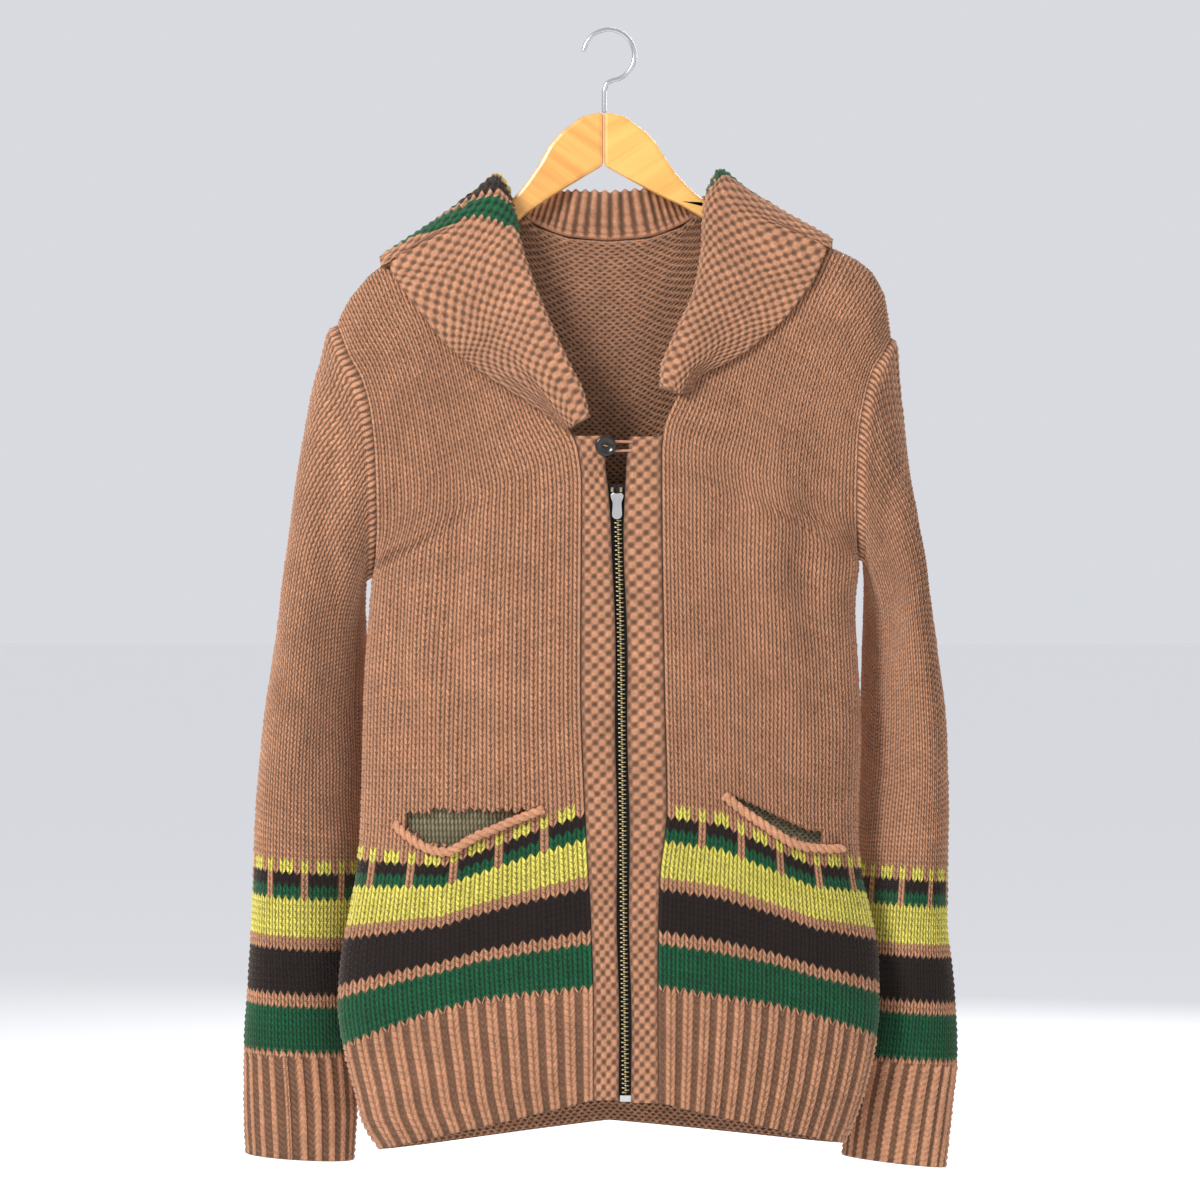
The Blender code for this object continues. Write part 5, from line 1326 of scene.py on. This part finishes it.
cloud.inputs["Scale"].default_value = 300
place = tree.nodes.new("ShaderNodeTexCoord")
tree.links.new(place.outputs["Object"], cloud.inputs["Vector"])
tone = tree.nodes.new("ShaderNodeMixRGB")
tone.inputs["Color1"].default_value = srgb(16, 14, 14)
tone.inputs["Color2"].default_value = srgb(34, 28, 26)
tree.links.new(cloud.outputs["Fac"], tone.inputs["Fac"])
tree.links.new(tone.outputs["Color"], shader.inputs["Base Color"])
polish = tree.nodes.new("ShaderNodeMapRange")
polish.inputs["To Min"].default_value = 0.10
polish.inputs["To Max"].default_value = 0.28
tree.links.new(cloud.outputs["Fac"], polish.inputs["Value"])
tree.links.new(polish.outputs["Result"], shader.inputs["Roughness"])
mesh.materials.append(horn)
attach(button, "cardigan")
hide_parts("button")
thread = plaited("button_thread", np.array([hub + [-0.0019, 0.0006, 0.0002], hub + [-0.0008, 0.0002, 0.0004],
                                            hub + [0.0008, 0.0002, -0.0002], hub + [0.0019, 0.0008, 0]]),
                 2, 0.00026, 0.0002, 0.0014)
thread.data.materials.append(cord_wool)
shank = sweep("button_shank", hub + np.array([[0, d, 0] for d in np.linspace(0.0031, 0.0052, 8)]),
              0.0014, 12)
shank.data.materials.append(cord_wool)
for piece in (thread, shank):
    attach(piece, "cardigan")
face = down(NECK_DEPTH, -0.3136, 1)
loop = [(0.0175, -0.3104), (0.0100, -0.3102), (0.0, -0.3100), (-0.0040, -0.3104), (-0.0060, -0.3118),
        (-0.0066, -0.3136), (-0.0060, -0.3154), (-0.0040, -0.3168), (0.0, -0.3172), (0.0100, -0.3170),
        (0.0175, -0.3168)]
loop = plaited("yarn_loop", np.array([(x, face - 0.0014, z) for x, z in loop]), 2, 0.00062, 0.0005, 0.004)
loop.data.materials.append(cord_wool)
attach(loop, "cardigan")
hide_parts("button_loop")


# Hanger: two halves of lacquered pale wood, mitred together at the peak, and a plain wire hook
# screwed in there. The grain runs down each arm.
def wood_material(name, slope, light, dark):
    """Lacquered wood: long streaks of noise drawn out along the arm, finer ones over them, and
    the bump of the pores."""
    made = bpy.data.materials.new(name)
    made.use_nodes = True
    tree = made.node_tree
    shader = tree.nodes["Principled BSDF"]
    shader.inputs["Coat Weight"].default_value = 0.35
    shader.inputs["Coat Roughness"].default_value = 0.15
    place = tree.nodes.new("ShaderNodeTexCoord")
    turn = tree.nodes.new("ShaderNodeMapping")
    turn.inputs["Rotation"].default_value = (0, slope, 0)
    tree.links.new(place.outputs["Object"], turn.inputs["Vector"])
    streaks = []
    for scale, detail in (((5, 40, 70), 3), ((14, 300, 420), 5)):
        drawn = tree.nodes.new("ShaderNodeMapping")
        drawn.inputs["Scale"].default_value = scale
        tree.links.new(turn.outputs["Vector"], drawn.inputs["Vector"])
        noise = tree.nodes.new("ShaderNodeTexNoise")
        noise.inputs["Scale"].default_value = 1.0
        noise.inputs["Detail"].default_value = detail
        noise.inputs["Distortion"].default_value = 0.6
        tree.links.new(drawn.outputs["Vector"], noise.inputs["Vector"])
        streaks.append(noise.outputs["Fac"])
    mixed = tree.nodes.new("ShaderNodeMath")
    mixed.operation = "MULTIPLY_ADD"
    tree.links.new(streaks[1], mixed.inputs[0])
    mixed.inputs[1].default_value = 0.45
    tree.links.new(streaks[0], mixed.inputs[2])
    ramp = tree.nodes.new("ShaderNodeMapRange")
    ramp.inputs["From Min"].default_value = 0.45
    ramp.inputs["From Max"].default_value = 1.0
    tree.links.new(mixed.outputs[0], ramp.inputs["Value"])
    tone = tree.nodes.new("ShaderNodeMixRGB")
    tone.inputs["Color1"].default_value = light
    tone.inputs["Color2"].default_value = dark
    tree.links.new(ramp.outputs["Result"], tone.inputs["Fac"])
    tree.links.new(tone.outputs["Color"], shader.inputs["Base Color"])
    polish = tree.nodes.new("ShaderNodeMapRange")
    polish.inputs["To Min"].default_value = 0.30
    polish.inputs["To Max"].default_value = 0.48
    tree.links.new(streaks[1], polish.inputs["Value"])
    tree.links.new(polish.outputs["Result"], shader.inputs["Roughness"])
    bump = tree.nodes.new("ShaderNodeBump")
    bump.inputs["Distance"].default_value = 0.0001
    tree.links.new(streaks[1], bump.inputs["Height"])
    tree.links.new(bump.outputs["Normal"], shader.inputs["Normal"])
    return made


dress("hanger_left", wood_material("Wood, left half", math.radians(-35), srgb(240, 182, 98),
                                   srgb(212, 140, 62)))
dress("hanger_right", wood_material("Wood, right half", math.radians(33), srgb(244, 192, 104),
                                    srgb(222, 160, 74)))
HOOK_WIRE, HOOK_RADIUS, HANGER_CENTRE = 0.0018, 0.0175, -0.0035
ring = [((HOOK_RADIUS + HOOK_WIRE) * math.sin(a), -HOOK_RADIUS - (HOOK_RADIUS + HOOK_WIRE) * math.cos(a))
        for a in np.radians(np.arange(20, 261, 4))]
stem = [(HANGER_CENTRE, -0.0601), (HANGER_CENTRE, -0.0440), (-0.0015, -0.0385), (0.0030, -0.0364)]
hook = sweep("wire_hook", along([(x, 0, z) for x, z in stem + ring], 160), HOOK_WIRE, 20)
hook.data.materials.append(steel)
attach(hook, "cardigan")
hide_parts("hook")


size = [[list(corner) for corner in box] for box in (cad_box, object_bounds())]
